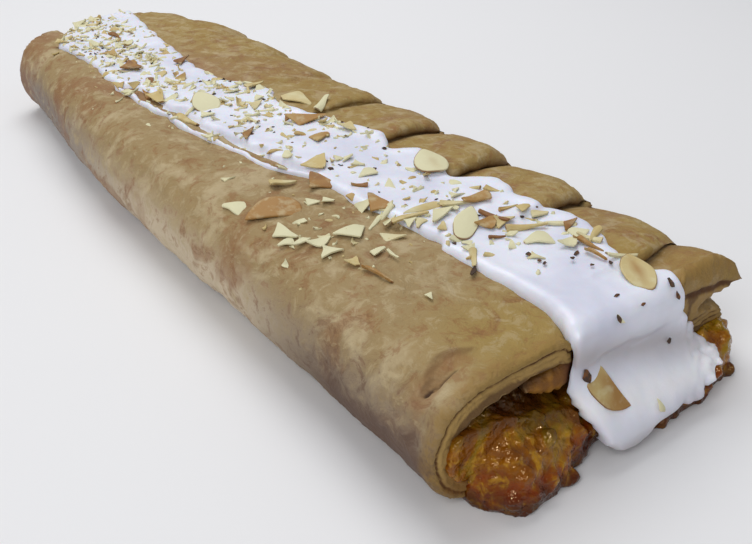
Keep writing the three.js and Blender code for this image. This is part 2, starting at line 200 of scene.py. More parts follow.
def plain_side(y, inset, first, last, count):
    """Points up the plain side, an ellipse that is squarish above its middle."""
    narrow = along(LEFT_EDGE, y) / LEFT_HALF
    low = lowered(y)
    reach = SIDE_REACH * narrow - inset
    rise = (CROWN - SIDE_MIDDLE) * low - 1.3 * inset
    points = []
    for angle in np.radians(np.linspace(first, last, count)):
        power = SIDE_ROUND if angle > 0 else 1
        out = abs(math.cos(angle)) ** power
        up = math.copysign(abs(math.sin(angle)) ** power, angle)
        middle = (SIDE_REACH - LEFT_HALF) * narrow
        points.append((middle - reach * out, max(0.0, SIDE_MIDDLE * low + rise * up)))
    return points


def tab_share(y):
    """How far along its own tab a place is, from 0 at the near edge to 1 at the far edge."""
    passed = np.clip(np.floor((y - FIRST_SLIT) / TAB_PITCH), -1, SLIT_COUNT - 1)
    return np.clip((y - FIRST_SLIT) / TAB_PITCH - passed, 0, 1)


def tab_edge(y):
    bulge = np.sin(np.pi * tab_share(y)) ** 0.6
    swell = TAB_BULGE * along([(140, 1), (200, 0.45)], y)
    return along(RIGHT_EDGE, y) + swell * (2 * bulge - 1) - 1.6 * (1 - ease(y / 9))


def slit_strength(place):
    """How plainly a slit shows. The first slits gape, and those further along have baked shut."""
    return along([(110, 1), (150, 0.8), (172, 0.45), (202, 0.12)], place)


def plump_share(inward):
    """Where the first tab puffs up: a broad swelling a little in from its outer edge."""
    return ease(inward / 7) * (1 - ease((inward - 12) / 16))


def lift_share(inward):
    """How much of a tab's lift shows, from its outer edge inwards to the seam."""
    return blend(0.6, 1, ease(inward / 6)) * blend(1, 0.35, ease((inward - 26) / 16))


def tab_height(x, y, lift):
    inward = tab_edge(y) - x
    arch = 1 - (1 - np.clip(inward / TAB_ARCH, 0, 1)) ** 2.2
    bare = lowered(y) * blend(along(TAB_EDGE_LINE, y), CROWN - 1.2, arch)
    return bare + lift * lift_share(inward)


# Each slit as steps through it: place along the bar past the slit, and level between the low far
# edge of one tab at 0 and the raised near edge of the next at 1. The near edge hangs over a little.
LIP_STEPS = [(1.3, -0.2), (0.9, -0.02), (0.1, 0.1), (-0.5, 0.28), (-0.6, 0.5), (-0.1, 0.72),
             (0.8, 0.88), (2.0, 0.96), (3.4, 1.0)]
LIP_BACK, LIP_FORWARD, TAB_FALL = -1.1, 3.4, 33
LOW_LIFT, HIGH_LIFT, PLUMP = -1.9, 2.8, 3.6
STATIONS_PER_TAB, FLAT_LAG, FLAT_GAP = 25, 1.6, 1.4
FIRST_STATIONS = (*np.linspace(0, 3, 5), *np.linspace(4.4, 17, 9))


def tab_level(past):
    """The level of a tab at a distance past its slit: high just behind its near edge, and falling."""
    return 1 - np.clip((past - LIP_FORWARD) / TAB_FALL, 0, 1) ** 1.4


def tab_stations():
    """Rows of (plain place, place on the tabs, level, puffing up) along the whole bar."""
    rows = [(y, y, tab_level(y + TAB_PITCH - FIRST_SLIT), 1) for y in FIRST_STATIONS]
    for slit in FIRST_SLIT + TAB_PITCH * np.arange(SLIT_COUNT):
        last = slit + TAB_PITCH >= LENGTH - TAB_PITCH / 2
        span = LENGTH - slit if last else TAB_PITCH
        count = round(STATIONS_PER_TAB * span / TAB_PITCH)
        plain = slit - FLAT_LAG + (span - (0 if last else FLAT_GAP)) * np.arange(count + 1) / count
        for k in range(count + 1 if last else count):
            plump = 0
            if k < len(LIP_STEPS):
                past, level = LIP_STEPS[k]
                even = blend(LIP_BACK, LIP_FORWARD, k / (len(LIP_STEPS) - 1))
                past = blend(even, past, slit_strength(slit))
                plump = min(1, 1 - level) if slit == FIRST_SLIT else 0
            else:
                end = span if last else span - FLAT_LAG
                past = blend(LIP_FORWARD, end, (k - len(LIP_STEPS) + 1) / (count - len(LIP_STEPS) + 1))
                level = tab_level(past)
            rows.append((min(plain[k], LENGTH), slit + past, level, plump))
    rows[-1] = (LENGTH, LENGTH, *rows[-1][2:])
    return rows


FLAP_STEPS = np.array((0.85, 0.65, 0.4, 0.2))
TAB_STEPS = np.array((0, 0.03, 0.09, 0.17, 0.27, 0.4, 0.55, 0.7, 0.85))


def run(follow, spacing, *points):
    """Points of the section that follow the tabs as much as each other, and are as far apart."""
    return [(x, z, follow, spacing) for x, z in points]


def section(plain, tab, level, plump=0):
    """The section at one station: rows of x, z, how far it follows the tabs, and sample spacing."""
    lip, heel = along(LIP_LINE, plain), along(HEEL_LINE, tab)
    at_end, low, deep = 1 - ease(plain / 14), lowered(plain), roominess(plain)
    wall, edge = along(RIGHT_EDGE, plain) - 2.6 * (1 - ease(plain / 7)), tab_edge(tab)
    lift = slit_strength(tab) * blend(LOW_LIFT, HIGH_LIFT, level)
    notch = wall - 7 - 11 * blend(1, 0.1, ease((plain - 2) / 14))
    fold, gap = fold_depth(plain), blend(2.6, 0.3, ease((plain - 3) / 14))
    rows = run(0, 2, (lip - 1.5, flap_height(lip, plain) - 1.2))
    rows += run(0, 1.3, *[(x, flap_height(x, plain)) for x in blend(flap_start(plain), lip, FLAP_STEPS)])
    rows += run(0, 1.3, *reversed(plain_side(plain, 0, -74, 90, 15)))
    rows += run(0, 6, *[(x, 0) for x in np.linspace(-36, wall - 12, 4)])
    rows += run(0, 1.5, (wall - 8, 0), (wall - 4.5, 1.6), (wall - 1.8, 5.5), (wall - 0.8, 12),
                (wall - 2, 16.5), (wall - 4.2, 19.6))
    rows += run(0.2, 1.5, (blend(notch, wall - 4.2, 0.5), 21.8))
    rows += run(0.5, 0.6, (notch, 22.2)) + run(0.7, 1.5, (notch, 23))
    rows += run(0.9, 1.5, (blend(notch, edge - 2.5, 0.5), blend(22.6 + 0.6 * lift, 24.6, at_end)))
    edge_top = tab_height(edge, tab, lift)
    rows += run(1, 1, (edge - blend(2.2, 0.9, at_end), edge_top - blend(2.2, 0.7, at_end)))
    rows += run(1, 1.3, *[(x, tab_height(x, tab, lift) + PLUMP * plump * plump_share(edge - x))
                          for x in edge - TAB_STEPS * (edge - heel)])
    rows += run(1, 3, (heel, tab_height(heel, tab, lift) - 1))
    rows += run(0.5, 4, (heel, blend(14, 29 * low, deep)))
    rows += run(0, 4, (blend(31, heel + 6, deep), blend(11, 27 * low, deep)),
                (blend(40, wall - 14, deep), blend(10.5, 23.5 * low, deep) - 2),
                (blend(47, wall - 6.5, deep), blend(10, 15, deep)), (wall - 7, 8.5))
    rows += run(0, 6, (wall - 10, SHEET))
    rows += run(0, 8, *[(x, SHEET) for x in np.linspace(wall - 20, -30, 4)])
    rows += run(0, 2.5, *plain_side(plain, SHEET + 1.3 * at_end, -90, 90, 11))
    rows += run(0, 1.5, (lip - fold, 30 * low), (lip - 7, 29.4 * low))
    rows += run(0, 0.7, (lip - 3.2, 28.6 * low))
    rows += run(0, 1.5, (lip - 3.2, 28.6 * low - 0.4), (lip - 7, 29.1 * low - gap))
    rows += run(0, 1, (lip - fold, 28.3 * low - gap), (lip - fold - 1.6, 24.6))
    rows += run(0, 1.5, (lip - 0.85 * fold, 21.6), (lip - 0.4 * fold, 19.4)) + run(0, 1, (lip - 1.2, 19.2))
    rows += run(0, 2, (lip, 21), (lip + 0.2, 28)) + run(0, 1.5, (lip - 0.2, 31.6))
    return np.array(rows, float)


def slit_lean(x):
    """How much nearer than its outer end a slit lies at x, because it is cut at a slant."""
    return SLIT_SLANT * np.clip((RIGHT_HALF - x) / SLIT_LENGTH, 0, 1)


def slant(x, y):
    """The far end is cut at a slant."""
    return y + (0.22 * x - 0.003 * x * x) * ease((y - LENGTH + 70) / 70)


def ring_samples(rows, counts):
    """A closed ring with a fixed number of samples on each stretch, its corners eased."""
    following = np.roll(rows, -1, axis=0)
    parts = [blend(a, b, np.arange(n)[:, None] / n) for a, b, n in zip(rows, following, counts)]
    ring = np.concatenate(parts)
    for _ in range(2):
        ring = 0.5 * ring + 0.25 * (np.roll(ring, 1, axis=0) + np.roll(ring, -1, axis=0))
    return ring


OUTER_STRETCHES = 45
NEAR_SPACING, FAR_SPACING, ROW_RISE, EDGE_CLEAR = 0.7, 0.9, 0.87, 0.45


def dough_rings():
    """The sheet's rings of points from the near end to the far end, and how tab-like each one is."""
    stations = tab_stations()
    usual = section(100, 100, 0.5)
    stretch = np.linalg.norm(np.roll(usual, -1, axis=0)[:, :2] - usual[:, :2], axis=1)
    counts = np.maximum(1, np.round(stretch / usual[:, 3])).astype(int)
    outer = counts[:OUTER_STRETCHES].sum()
    rings, follow = [], []
    for plain, tab, level, plump in stations:
        ring = ring_samples(section(plain, tab, level, plump)[:, :3], counts)
        x, z, share = ring.T
        middle = ease(plain / 14) * (1 - ease((plain - LENGTH + 16) / 16))
        y = blend(plain, tab - slit_lean(x) * middle, share)
        rings.append(np.stack([x, slant(x, np.minimum(y, LENGTH)), z], axis=1))
        follow.append(share)
    return np.array(rings), np.array(follow), stations, outer


def cut_face(ring, spacing):
    """An end ring filled with small triangles: its flat points, and the faces on them."""
    outline = ring[:, [0, 2]]
    low, high = outline.min(axis=0), outline.max(axis=0)
    grid = np.array([(x + (spacing / 2 if k % 2 else 0), z)
                     for k, z in enumerate(np.arange(low[1], high[1], spacing * ROW_RISE))
                     for x in np.arange(low[0], high[0], spacing)])
    step = np.roll(outline, -1, axis=0) - outline
    size = np.maximum((step**2).sum(axis=1), 1e-9)
    offset = grid[:, None, :] - outline[None, :, :]
    share = np.clip((offset * step).sum(axis=2) / size, 0, 1)
    gap = np.linalg.norm(offset - share[:, :, None] * step, axis=2).min(axis=1)
    inner = [Vector(p) for p in grid[gap > EDGE_CLEAR * spacing]]
    edge = [Vector(p) for p in outline]
    flat, _, faces, *_ = delaunay_2d_cdt(edge + inner, [], [list(range(len(edge)))], 1, 1e-5)
    return np.array([tuple(p) for p in flat]), [list(face) for face in faces]


def nearest(points, others):
    """The distance of each flat point from the closest of the others."""
    return np.linalg.norm(points[:, None, :] - others[None, :, :], axis=2).min(axis=1)


def sides(count, size):
    """The faces between neighbouring rings of equally many points."""
    return [(near + i, near + (i + 1) % size, near + size + (i + 1) % size, near + size + i)
            for near in range(0, (count - 1) * size, size) for i in range(size)]


rings, follow, stations, OUTER_SAMPLES = dough_rings()
ring_count, ring_size = rings.shape[:2]


def dough_marks():
    """How dark each ring point is painted on a tab's near edge, partly as browning and partly as painted
    shade under its overhang, and whether it lies outside the roll.
    """
    browned_and_shaded = np.zeros((ring_count, ring_size))
    levels = [level for _, _, level, _ in stations]
    for k, level in enumerate(levels):
        before, after = levels[max(k - 1, 0)], levels[min(k + 1, ring_count - 1)]
        rising = level - before > 0.05 or after - level > 0.05
        if rising and level < 0.95:
            browned_and_shaded[k] = follow[k] * slit_strength(stations[k][1]) ** 1.5 * (1 - ease(level / 0.75))
    blurred = browned_and_shaded.copy()
    blurred[1:-1] = 0.5 * browned_and_shaded[1:-1] + 0.25 * (browned_and_shaded[:-2] + browned_and_shaded[2:])
    outside = np.zeros((ring_count, ring_size))
    outside[:, :OUTER_SAMPLES] = 1
    return blurred, outside


browned_and_shaded, outside = dough_marks()
faces = sides(ring_count, ring_size)
dough_points = [rings.reshape(-1, 3)]
bare = np.zeros(ring_count * ring_size)
marks = {"browned_and_shaded": [browned_and_shaded.ravel()], "outside": [outside.ravel()], "depth": [bare], "rim": [bare]}
total = len(bare)
for end, spacing in ((0, NEAR_SPACING), (ring_count - 1, FAR_SPACING)):
    flat, triangles = cut_face(rings[end], spacing)
    at = slant(flat[:, 0], np.full(len(flat), float(LENGTH))) if end else np.zeros(len(flat))
    dough_points.append(np.stack([flat[:, 0], at, flat[:, 1]], axis=1))
    edge = rings[end][:, [0, 2]]
    marks["browned_and_shaded"].append(np.zeros(len(flat)))
    marks["outside"].append(np.ones(len(flat)))
    marks["depth"].append(nearest(flat, edge[:OUTER_SAMPLES]))
    marks["rim"].append(nearest(flat, edge))
    faces += [tuple(total + i for i in face) for face in triangles]
    total += len(flat)
dough = solid_piece("dough", np.concatenate(dough_points), faces,
                    {name: np.concatenate(parts) for name, parts in marks.items()})

# Baking leaves the outside lumpy and blistered, the cut ends flaked along their leaves with their outer
# edge curled back, and a tear in the top near the cut end, where a few leaves of dough have lifted.
LUMPS, BLISTERS, FLAKES = (26, 0.9), (7, 0.5), (2.6, 0.24)
LENGTHENED = (1, 0.7, 1)
TEAR = [(-53.0, 9.0), (-50.6, 8.3), (-48.1, 7.9), (-44.0, 8.2)]
TEAR_BROW = [(-52.7, 9.9), (-49.9, 11.6), (-47.5, 12.7), (-44.8, 13.6), (-41.3, 12.6), (-38.0, 10.8)]
EDGE_CURL, TAB_CURL, CURL_REACH = 2.3, 4.4, 12
TAB_CREASE = [(27, 30.5), (36, 29.6), (46, 28.6), (57, 25.6)]
FOLD_ROUND, LEAF = 3.4, 2.4
TAB_FROM, TAB_FOOT = 27, 21
RAGGED_REACH, RAGGED_LUMP = 5, 10


def gap_to_line(points, line):
    """The distance of each flat point from an open line."""
    best = np.full(len(points), 1e9)
    for a, b in zip(np.array(line[:-1]), np.array(line[1:])):
        step = b - a
        share = np.clip((points - a) @ step / (step @ step), 0, 1)
        best = np.minimum(best, np.linalg.norm(points - a - share[:, None] * step, axis=1))
    return best


def rounding(share):
    """The height of a quarter round, from 0 at its outside to 1 where it is level."""
    return np.sqrt(1 - (1 - np.clip(share, 0, 1)) ** 2)


def curl(gap, size):
    """How far back a rounded edge of that size lies, at each distance in from its outside."""
    return size * (1 - rounding(gap / size))


at, facing = places(dough), directions(dough)
x, y, z = at.T
deep, rim = marked(dough.data, "depth"), marked(dough.data, "rim")
skin = marked(dough.data, "outside") * (deep < 0.01)
cut = np.where((deep > 0.01) & ((y < 0.5) | (y > LENGTH - 25)), 1.0, 0.0)
first_tab = ease((x - TAB_FROM) / 5) * (z > TAB_FOOT)
tab_top = tab_height(x, 0.0, 1.6) + PLUMP * plump_share(tab_edge(0.0) - x)
tab_drop = (tab_top - z) / np.maximum(tab_top - along(TAB_CREASE, x), 1)
rolled_over = first_tab * (y < 0.5) * (1 - ease(tab_drop))
facing = blend(facing, np.array((0, 0, 1)), rolled_over[:, None])
lip_gap = x - along(LIP_LINE, y)
tucked = ease((lip_gap + 17) / 3) * ease((28.4 - z) / 1.2) * (z > 17.5) * (lip_gap < 1.5)
tucked = np.maximum(tucked, ease((lip_gap + 3) / 2) * (lip_gap < 1.5) * (z < 32)) * (y < 12)
relief = sum(height * unevenness(at * LENGTHENED, size, seed)
             for seed, (size, height) in enumerate((LUMPS, BLISTERS, FLAKES), 1))
relief -= 0.7 * ease((np.abs(x) - 48) / 8)
tear_gap, brow_gap = gap_to_line(at[:, :2], TEAR), gap_to_line(at[:, :2], TEAR_BROW)
on_top = ease((z - 26) / 3) * skin
torn, lifted = on_top * bell(tear_gap, 0, 0.9), on_top * bell(brow_gap, 0, 1.3)
between = on_top * ease((6 - tear_gap) / 2) * ease((6 - brow_gap) / 2)
relief = relief * np.maximum(skin * ease((z - 0.5) / 5), rolled_over)
relief = relief - 2.0 * torn + 0.5 * lifted - 0.5 * between
leaf_place = np.where((x > TAB_FROM) & (z < TAB_FOOT + 0.5), 1.3 * z, deep)
leaf = np.sin(2 * np.pi * (leaf_place - 0.2) / LEAF + 1.1 * unevenness(at, 9, 4))
flap_leaf = deep + 0.5 * unevenness(at, 8, 7)
flap_leaf = 0.7 - 2 * bell(flap_leaf, 2.5, 0.42) - 0.9 * bell(flap_leaf, 4.4, 0.3)
leaf = np.where((x < 5) & (y < 1), flap_leaf, leaf)
leaf = blend(leaf, 0.3 - 2.2 * bell(tab_drop, 1.1, 0.1), first_tab * (y < 1))
for end, past in ((0, y), (-1, slant(x, LENGTH) - y)):
    close = np.flatnonzero(past < CURL_REACH)
    edge = rings[end][:OUTER_SAMPLES, [0, 2]]
    shares = np.array_split(at[close][:, [0, 2]], 20)
    back = curl(np.concatenate([nearest(part, edge) for part in shares]), EDGE_CURL)
    if end == 0:
        tab_back = curl(TAB_CURL * np.maximum(tab_drop[close], 0), TAB_CURL) * first_tab[close]
        back = np.maximum(back, tab_back)
        back = np.maximum(back, curl(rim[close], FOLD_ROUND) * tucked[close])
        back *= 1 - 0.85 * ease((x[close] - 44) / 11) * first_tab[close]
    back = back * (1 - ease(past[close] / CURL_REACH))
    y[close] += back if end == 0 else -back
at += facing * relief[:, None]
near_end = np.exp(-np.maximum(y, 0) / RAGGED_REACH)
far_end = np.exp(-np.maximum(LENGTH - y, 0) / RAGGED_REACH) * (y > LENGTH / 2)
ragged = 0.8 * unevenness(at * (1, 0, 1), RAGGED_LUMP, 6)
flaked = (0.45 * leaf + 0.25 * unevenness(at, 1.8, 5)) * cut * np.sign(y - LENGTH / 2)
flaked *= (1 - rolled_over) * (1 - tucked)
y += (near_end - far_end) * (ragged + 0.3) + flaked
move_to(dough, at)
past_crease = first_tab * (1 - ease((tab_drop - 0.95) / 0.12))
for name, values in (
        ("tucked", tucked * (1 - skin)), ("fold_end", ease((lip_gap + 5) / 3.5)), ("leaf", leaf),
        ("crease", bell(tab_drop, 1.08, 0.12) * first_tab * cut),
        ("cut", cut * ease((deep - 1.3) / 0.6) * (1 - past_crease)),
        ("torn", torn), ("lifted", between), ("brow", lifted)):
    mark(dough.data, name, values)


class Signal:
    """A socket in a node tree that takes part in arithmetic. Signal.node adds any other node."""

    def __init__(self, socket):
        self.socket = socket

    @staticmethod
    def node(tree, kind, settings=None, inputs=None, output=0):
        made = tree.nodes.new(kind)
        for name, value in (settings or {}).items():
            setattr(made, name, value)
        for name, value in (inputs or {}).items():
            if isinstance(value, Signal):
                tree.links.new(value.socket, made.inputs[name])
            else:
                made.inputs[name].default_value = value
        return Signal(made.outputs[output])

    def beside(self, kind, settings, inputs, output=0):
        """Another node in the tree that this socket is in."""
        return Signal.node(self.socket.id_data, kind, settings, inputs, output)

    def __add__(self, other):
        return self.beside("ShaderNodeMath", {"operation": "ADD"}, {0: self, 1: other})

    def __sub__(self, other):
        return self.beside("ShaderNodeMath", {"operation": "SUBTRACT"}, {0: self, 1: other})

    def __rsub__(self, other):
        return self.beside("ShaderNodeMath", {"operation": "SUBTRACT"}, {0: other, 1: self})

    def __mul__(self, other):
        return self.beside("ShaderNodeMath", {"operation": "MULTIPLY"}, {0: self, 1: other})

    __radd__, __rmul__ = __add__, __mul__

    def ramp(self, low, high):
        """0 where this is below low, 1 where it is above high, and smooth between."""
        return self.beside("ShaderNodeMapRange", {"interpolation_type": "SMOOTHSTEP"}, {
            "Value": self, "From Min": low, "From Max": high})

    def between(self, first, second):
        """One colour where this is 0, and another where it is 1."""
        first, second = (c if isinstance(c, Signal) else (*c, 1) for c in (first, second))
        return self.beside("ShaderNodeMix", {"data_type": "RGBA"}, {0: self, 6: first, 7: second}, 2)

    def bump(self, millimetres, strength):
        """Raises the surface by up to that much where this is high."""
        return self.beside("ShaderNodeBump", {}, {
            "Height": self, "Distance": millimetres / 1000, "Strength": strength})


LUMP_OF_NOISE = 600


class Finish:
    """A material whose colour is laid on coat by coat over its first one."""

    def __init__(self, name, colour=None, **constants):
        self.material = bpy.data.materials.new(name)
        self.material.use_nodes = True
        self.tree, self.colour = self.material.node_tree, colour
        self.shader = self.tree.nodes["Principled BSDF"]
        for socket, value in constants.items():
            self.shader.inputs[socket.replace("_", " ")].default_value = value
        self.where = Signal.node(self.tree, "ShaderNodeTexCoord", output="Object")

    def axes(self):
        """The place on the piece in metres, as three numbers."""
        return [self.where.beside("ShaderNodeSeparateXYZ", {}, {0: self.where}, axis) for axis in range(3)]

    def pattern(self, size, detail=2, roughness=0.5, distortion=0):
        """Noise from 0 to 1 with lumps of about that many millimetres."""
        return self.where.beside("ShaderNodeTexNoise", {}, {
            "Vector": self.where, "Scale": LUMP_OF_NOISE / size, "Detail": detail, "Roughness": roughness,
            "Distortion": distortion})

    def stored(self, name):
        """A number that the mesh carries at each vertex."""
        return self.where.beside("ShaderNodeAttribute", {"attribute_name": name}, {}, "Fac")

    def coat(self, share, colour):
        """Lays a colour over the ones before, as much of it as share says."""
        self.colour = share.between(self.colour, colour)

    def done(self, **links):
        """Links the colour and what else varies to the shader. The rest stays as it was first set."""
        for socket, signal in {"Base_Color": self.colour, **links}.items():
            self.tree.links.new(signal.socket, self.shader.inputs[socket.replace("_", " ")])
        return self.material


def linear(red, green, blue):
    """A colour as seen on a screen, from 0 to 255, as the light that it stands for."""
    return tuple((c / 255 / 12.92) if c < 10.3 else ((c / 255 + 0.055) / 1.055) ** 2.4
                 for c in (red, green, blue))


# Crust colours: tan dough with a paler bloom, russet patches where the oven was hottest, golden tabs whose
# lower edges are darkened by browning and by painted shade, sides paler and greyer from their bake and from
# painted light and shade, painted shade at the foot, along a crease and in the tear, layered cut ends and a
# moist fold under the lip with painted shade where it meets the lip.
TAN, PALE, RUSSET = linear(157, 134, 93), linear(188, 170, 134), linear(138, 92, 52)
GOLDEN, EDGE_GOLD, FAR_GREY = linear(156, 130, 68), linear(146, 114, 56), linear(138, 128, 124)
DEEP_BROWN, TEAR_SHADE_BROWN = linear(92, 58, 26), linear(58, 34, 20)
LAYER_LIGHT, LAYER_DARK, INNER_BROWN = linear(166, 134, 76), linear(98, 64, 28), linear(82, 50, 22)
SIDE_GREY, SHADE_MAUVE = linear(208, 192, 166), linear(92, 70, 57)
FOLD_GOLD, FOLD_BROWN, FOLD_SHADE_MAROON = linear(178, 122, 30), linear(122, 76, 18), linear(70, 28, 12)
crust = Finish("baked_crust", TAN, Specular_IOR_Level=0.3)
across, lengthwise, height_up = crust.axes()
patches = crust.pattern(34, 4, 0.6, 0.8).ramp(0.52, 0.62)
spots = crust.pattern(10, 4, 0.65, 0.8).ramp(0.54, 0.66)
bloom = crust.pattern(14, 4, 0.65, 0.5).ramp(0.5, 0.64)
specks = crust.pattern(1.1, 2, 0.6).ramp(0.62, 0.72)
mottle, dapple = crust.pattern(3.2, 5, 0.72, 0.5), crust.pattern(5, 3, 0.65, 0.8)
stray = mottle - 0.5
wrinkle = crust.pattern(5.5, 4, 0.7, 1.4)
creases = 1 - ((wrinkle - 0.5) * (wrinkle - 0.5)).ramp(0.0, 0.0012)
near = lengthwise.ramp(-0.12, -0.15) * height_up.ramp(0.026, 0.032)
tab_side, near_foot = across.ramp(0, 0.02), lengthwise.ramp(-0.06, -0.125)
crust.coat(bloom * 0.7, PALE)
crust.coat(across.ramp(-0.012, 0.03) * 0.75, GOLDEN)
crust.coat(near * across.ramp(-0.055, -0.03) * 0.9, GOLDEN)
crust.coat(near * across.ramp(-0.034, -0.012) * spots * 0.6, EDGE_GOLD)
# The sides below the top are paler and greyer than the top: partly the paler bake of the sides, partly
# painted light along the near half and painted shade towards the far end.
crust.coat((height_up + stray * 0.02).ramp(0.03, 0.016) * (0.85 - 0.5 * tab_side),
           lengthwise.ramp(-0.02, 0.09).between(SIDE_GREY, FAR_GREY))
crust.coat(patches * (0.6 - 0.35 * tab_side), RUSSET)
crust.coat(spots * 0.55, RUSSET)
crust.coat(mottle.ramp(0.52, 0.64) * (0.5 - 0.1 * tab_side - 0.15 * near), PALE)
crust.coat(mottle.ramp(0.48, 0.36) * 0.5, RUSSET)
crust.coat(dapple.ramp(0.48, 0.36) * tab_side * 0.5, EDGE_GOLD)
crust.coat(dapple.ramp(0.52, 0.64) * tab_side * 0.4, PALE)
crust.coat(creases * spots * 0.25, DEEP_BROWN)
crust.coat(specks * 0.2, LAYER_LIGHT)
# Painted shade: the foot of the crust darkened to a grey mauve towards the table, more so at the near end.
crust.coat((height_up + stray * 0.01).ramp(0.008, 0) * (0.4 + 0.4 * near_foot), SHADE_MAUVE)
# Painted shade on the low near part of the plain side.
near_side = (height_up + stray * 0.02).ramp(0.034, 0.014) * across.ramp(-0.044, -0.056)
crust.coat(near_side * near_foot * 0.95, SHADE_MAUVE)
cut_rim = (lengthwise + stray * 0.004).ramp(-0.1545, -0.1585) * crust.stored("outside")
crust.coat(cut_rim * mottle.ramp(0.25, 0.6) * 0.8, EDGE_GOLD)
# Browning and painted shade: the near edges of the tabs, under their overhang, darkened deep brown.
crust.coat(crust.stored("browned_and_shaded") * mottle.ramp(0.15, 0.5) * 0.92, DEEP_BROWN)
crust.coat(crust.stored("lifted") * 0.4, RUSSET)
crust.coat(crust.stored("brow").ramp(0.2, 0.9) * 0.5, LAYER_DARK)
# Painted shade: the groove of the tear darkened to a near-black brown.
crust.coat(crust.stored("torn").ramp(0.35, 0.8) * 0.9, TEAR_SHADE_BROWN)
leaf_tone = (crust.stored("leaf") + stray * 1.6).ramp(-0.9, 0.2).between(LAYER_DARK, LAYER_LIGHT)
inner = (crust.stored("depth") + (wrinkle - 0.5) * 3).ramp(4.6, 6.0)
leaf_tone = (inner * 0.75).between(leaf_tone, INNER_BROWN)
leaf_tone = (height_up.ramp(0.016, 0.006) * across.ramp(-0.02, -0.03) * 0.6).between(leaf_tone, FOLD_BROWN)
leaf_tone = (across.ramp(0.03, 0.036) * 0.2).between(leaf_tone, LAYER_DARK)
crust.coat(1 - crust.stored("outside"), mottle.between(LAYER_DARK, INNER_BROWN))
crust.coat(crust.stored("cut"), leaf_tone)
# Painted shade: a dark brown line along the crease under the first tab's rolled edge on the cut end.
crust.coat(crust.stored("crease") * 0.85, DEEP_BROWN)
fold_tone = (crust.pattern(6) + stray * 0.3).ramp(0.34, 0.56).between(FOLD_BROWN, FOLD_GOLD)
in_fold = crust.stored("tucked")
# Painted shade: where the fold meets the lip, under the flap and the icing, it is darkened to maroon.
crust.coat(in_fold * 0.92, crust.stored("fold_end").between(fold_tone, FOLD_SHADE_MAROON))
dough.data.materials.append(crust.done(
    Roughness=0.78 - patches * 0.18 - spots * 0.08 - in_fold * 0.12,
    Normal=(wrinkle * 0.5 + mottle * 0.5).bump(1.6, 0.8)))
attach(dough, "root")
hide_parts("pastry")

# The filling. Stewed fruit and custard runs through the whole roll. It has sunk and bubbled out at
# both cut ends, where it set to a glossy, lumpy, browned edge on the baking sheet.
SEAM_TOP = 29.8
SUNK_LINE = [(-50, 24), (-40, 23), (-25, 17), (-8, 13), (50, 12)]
NEAR_OOZE = [(-46, 1), (-43, 6.5), (-38, 12), (-28, 11.5), (-16, 7.5), (-3, 4), (5, 6), (12, 10), (33, 10),
             (46, 7.5), (57, 2)]
NEAR_RISE = [(-46, 9), (-38, 18), (-20, 15), (0, 11), (30, 13), (48, 15), (57, 8)]
FAR_OOZE = [(-34, 0.8), (-22, 4.6), (0, 3), (22, 5), (38, 0.8)]
FAR_RISE = [(-34, 8), (-20, 14), (20, 13), (38, 7)]
NEAR_CORE, MIDDLE_CORE = (-1.5, 20), (15, LENGTH - 10)
FAR_CORE = (LENGTH - 15, LENGTH + 1.5)
NEAR_FRUIT, FAR_FRUIT = 96, 26
NEAR_GRAIN, FAR_GRAIN = 0.65, 0.95
FRUIT_SIZES, FRUIT_STRETCH = (1.4, 3.8), ((0.8, 1.5), (0.7, 1.1), (0.5, 0.9))


def core_ring(y):
    """The hollow of the roll, filled up to the seam, and sunk close to the near end."""
    lip, heel, wall = along(LIP_LINE, y), along(HEEL_LINE, y), along(RIGHT_EDGE, y)
    low, deep, fold = lowered(y), roominess(y), fold_depth(y)
    ring = plain_side(y, SHEET - 0.2, -90, 90, 12)
    ring += [(lip - fold - 1, 29 * low), (lip - fold, 24), (lip - 0.45 * fold, 19.7), (lip, 19)]
    ring += [(lip + 0.2, SEAM_TOP), (heel - 0.2, SEAM_TOP), (heel, blend(14, 29 * low, deep))]
    ring += [(blend(31, heel + 6, deep), blend(11, 26.6 * low, deep))]
    ring += [(blend(40, wall - 14, deep), blend(10.5, 22 * low, deep)),
             (blend(47, wall - 6.5, deep), blend(10, 15.5, deep)), (wall - 6.8, 8.5), (wall - 10, 4.8)]
    ring += [(x, 4.8) for x in np.linspace(wall - 20, -30, 6)]
    points = []
    for x, z in ring:
        sunk = along(SUNK_LINE, x)
        if z > sunk:
            z = blend(sunk, z, blend(0.06, 1, ease((y - 1) / 14)))
        points.append((x, slant(x, y), z))
    return points


def capped(rings):
    """Points and faces of a closed solid through rings of equally many points."""
    size = len(rings[0])
    points = [p for ring in rings for p in ring]
    ends = [tuple(range(size)), tuple(range(len(points) - size, len(points)))]
    return points, sides(len(rings), size) + ends


def core_part(first, last, count):
    """A length of the core. Where it goes past an end, it goes straight on."""
    rings = [core_ring(y) for y in np.linspace(max(first, 0), min(last, LENGTH), count)]
    if first < 0:
        rings.insert(0, [(x, first, z) for x, _, z in rings[0]])
    if last > LENGTH:
        rings.append([(x, y + last - LENGTH, z) for x, y, z in rings[-1]])
    return capped(rings)


def ooze(reach, rise, sense):
    """A rounded bead of filling in front of an end, from the table up."""
    rings = []
    for x in np.linspace(reach[0][0], reach[-1][0], 50):
        back = slant(x, LENGTH) if sense > 0 else 0
        depth, top = along(reach, x), along(rise, x)
        arc = [(x, back + sense * depth * math.cos(a) ** 0.9, top * math.sin(a))
               for a in np.linspace(0, math.pi / 2, 9)]
        rings.append(arc + [(x, back - sense * 3, top), (x, back - sense * 3, 0)])
    return capped(rings)


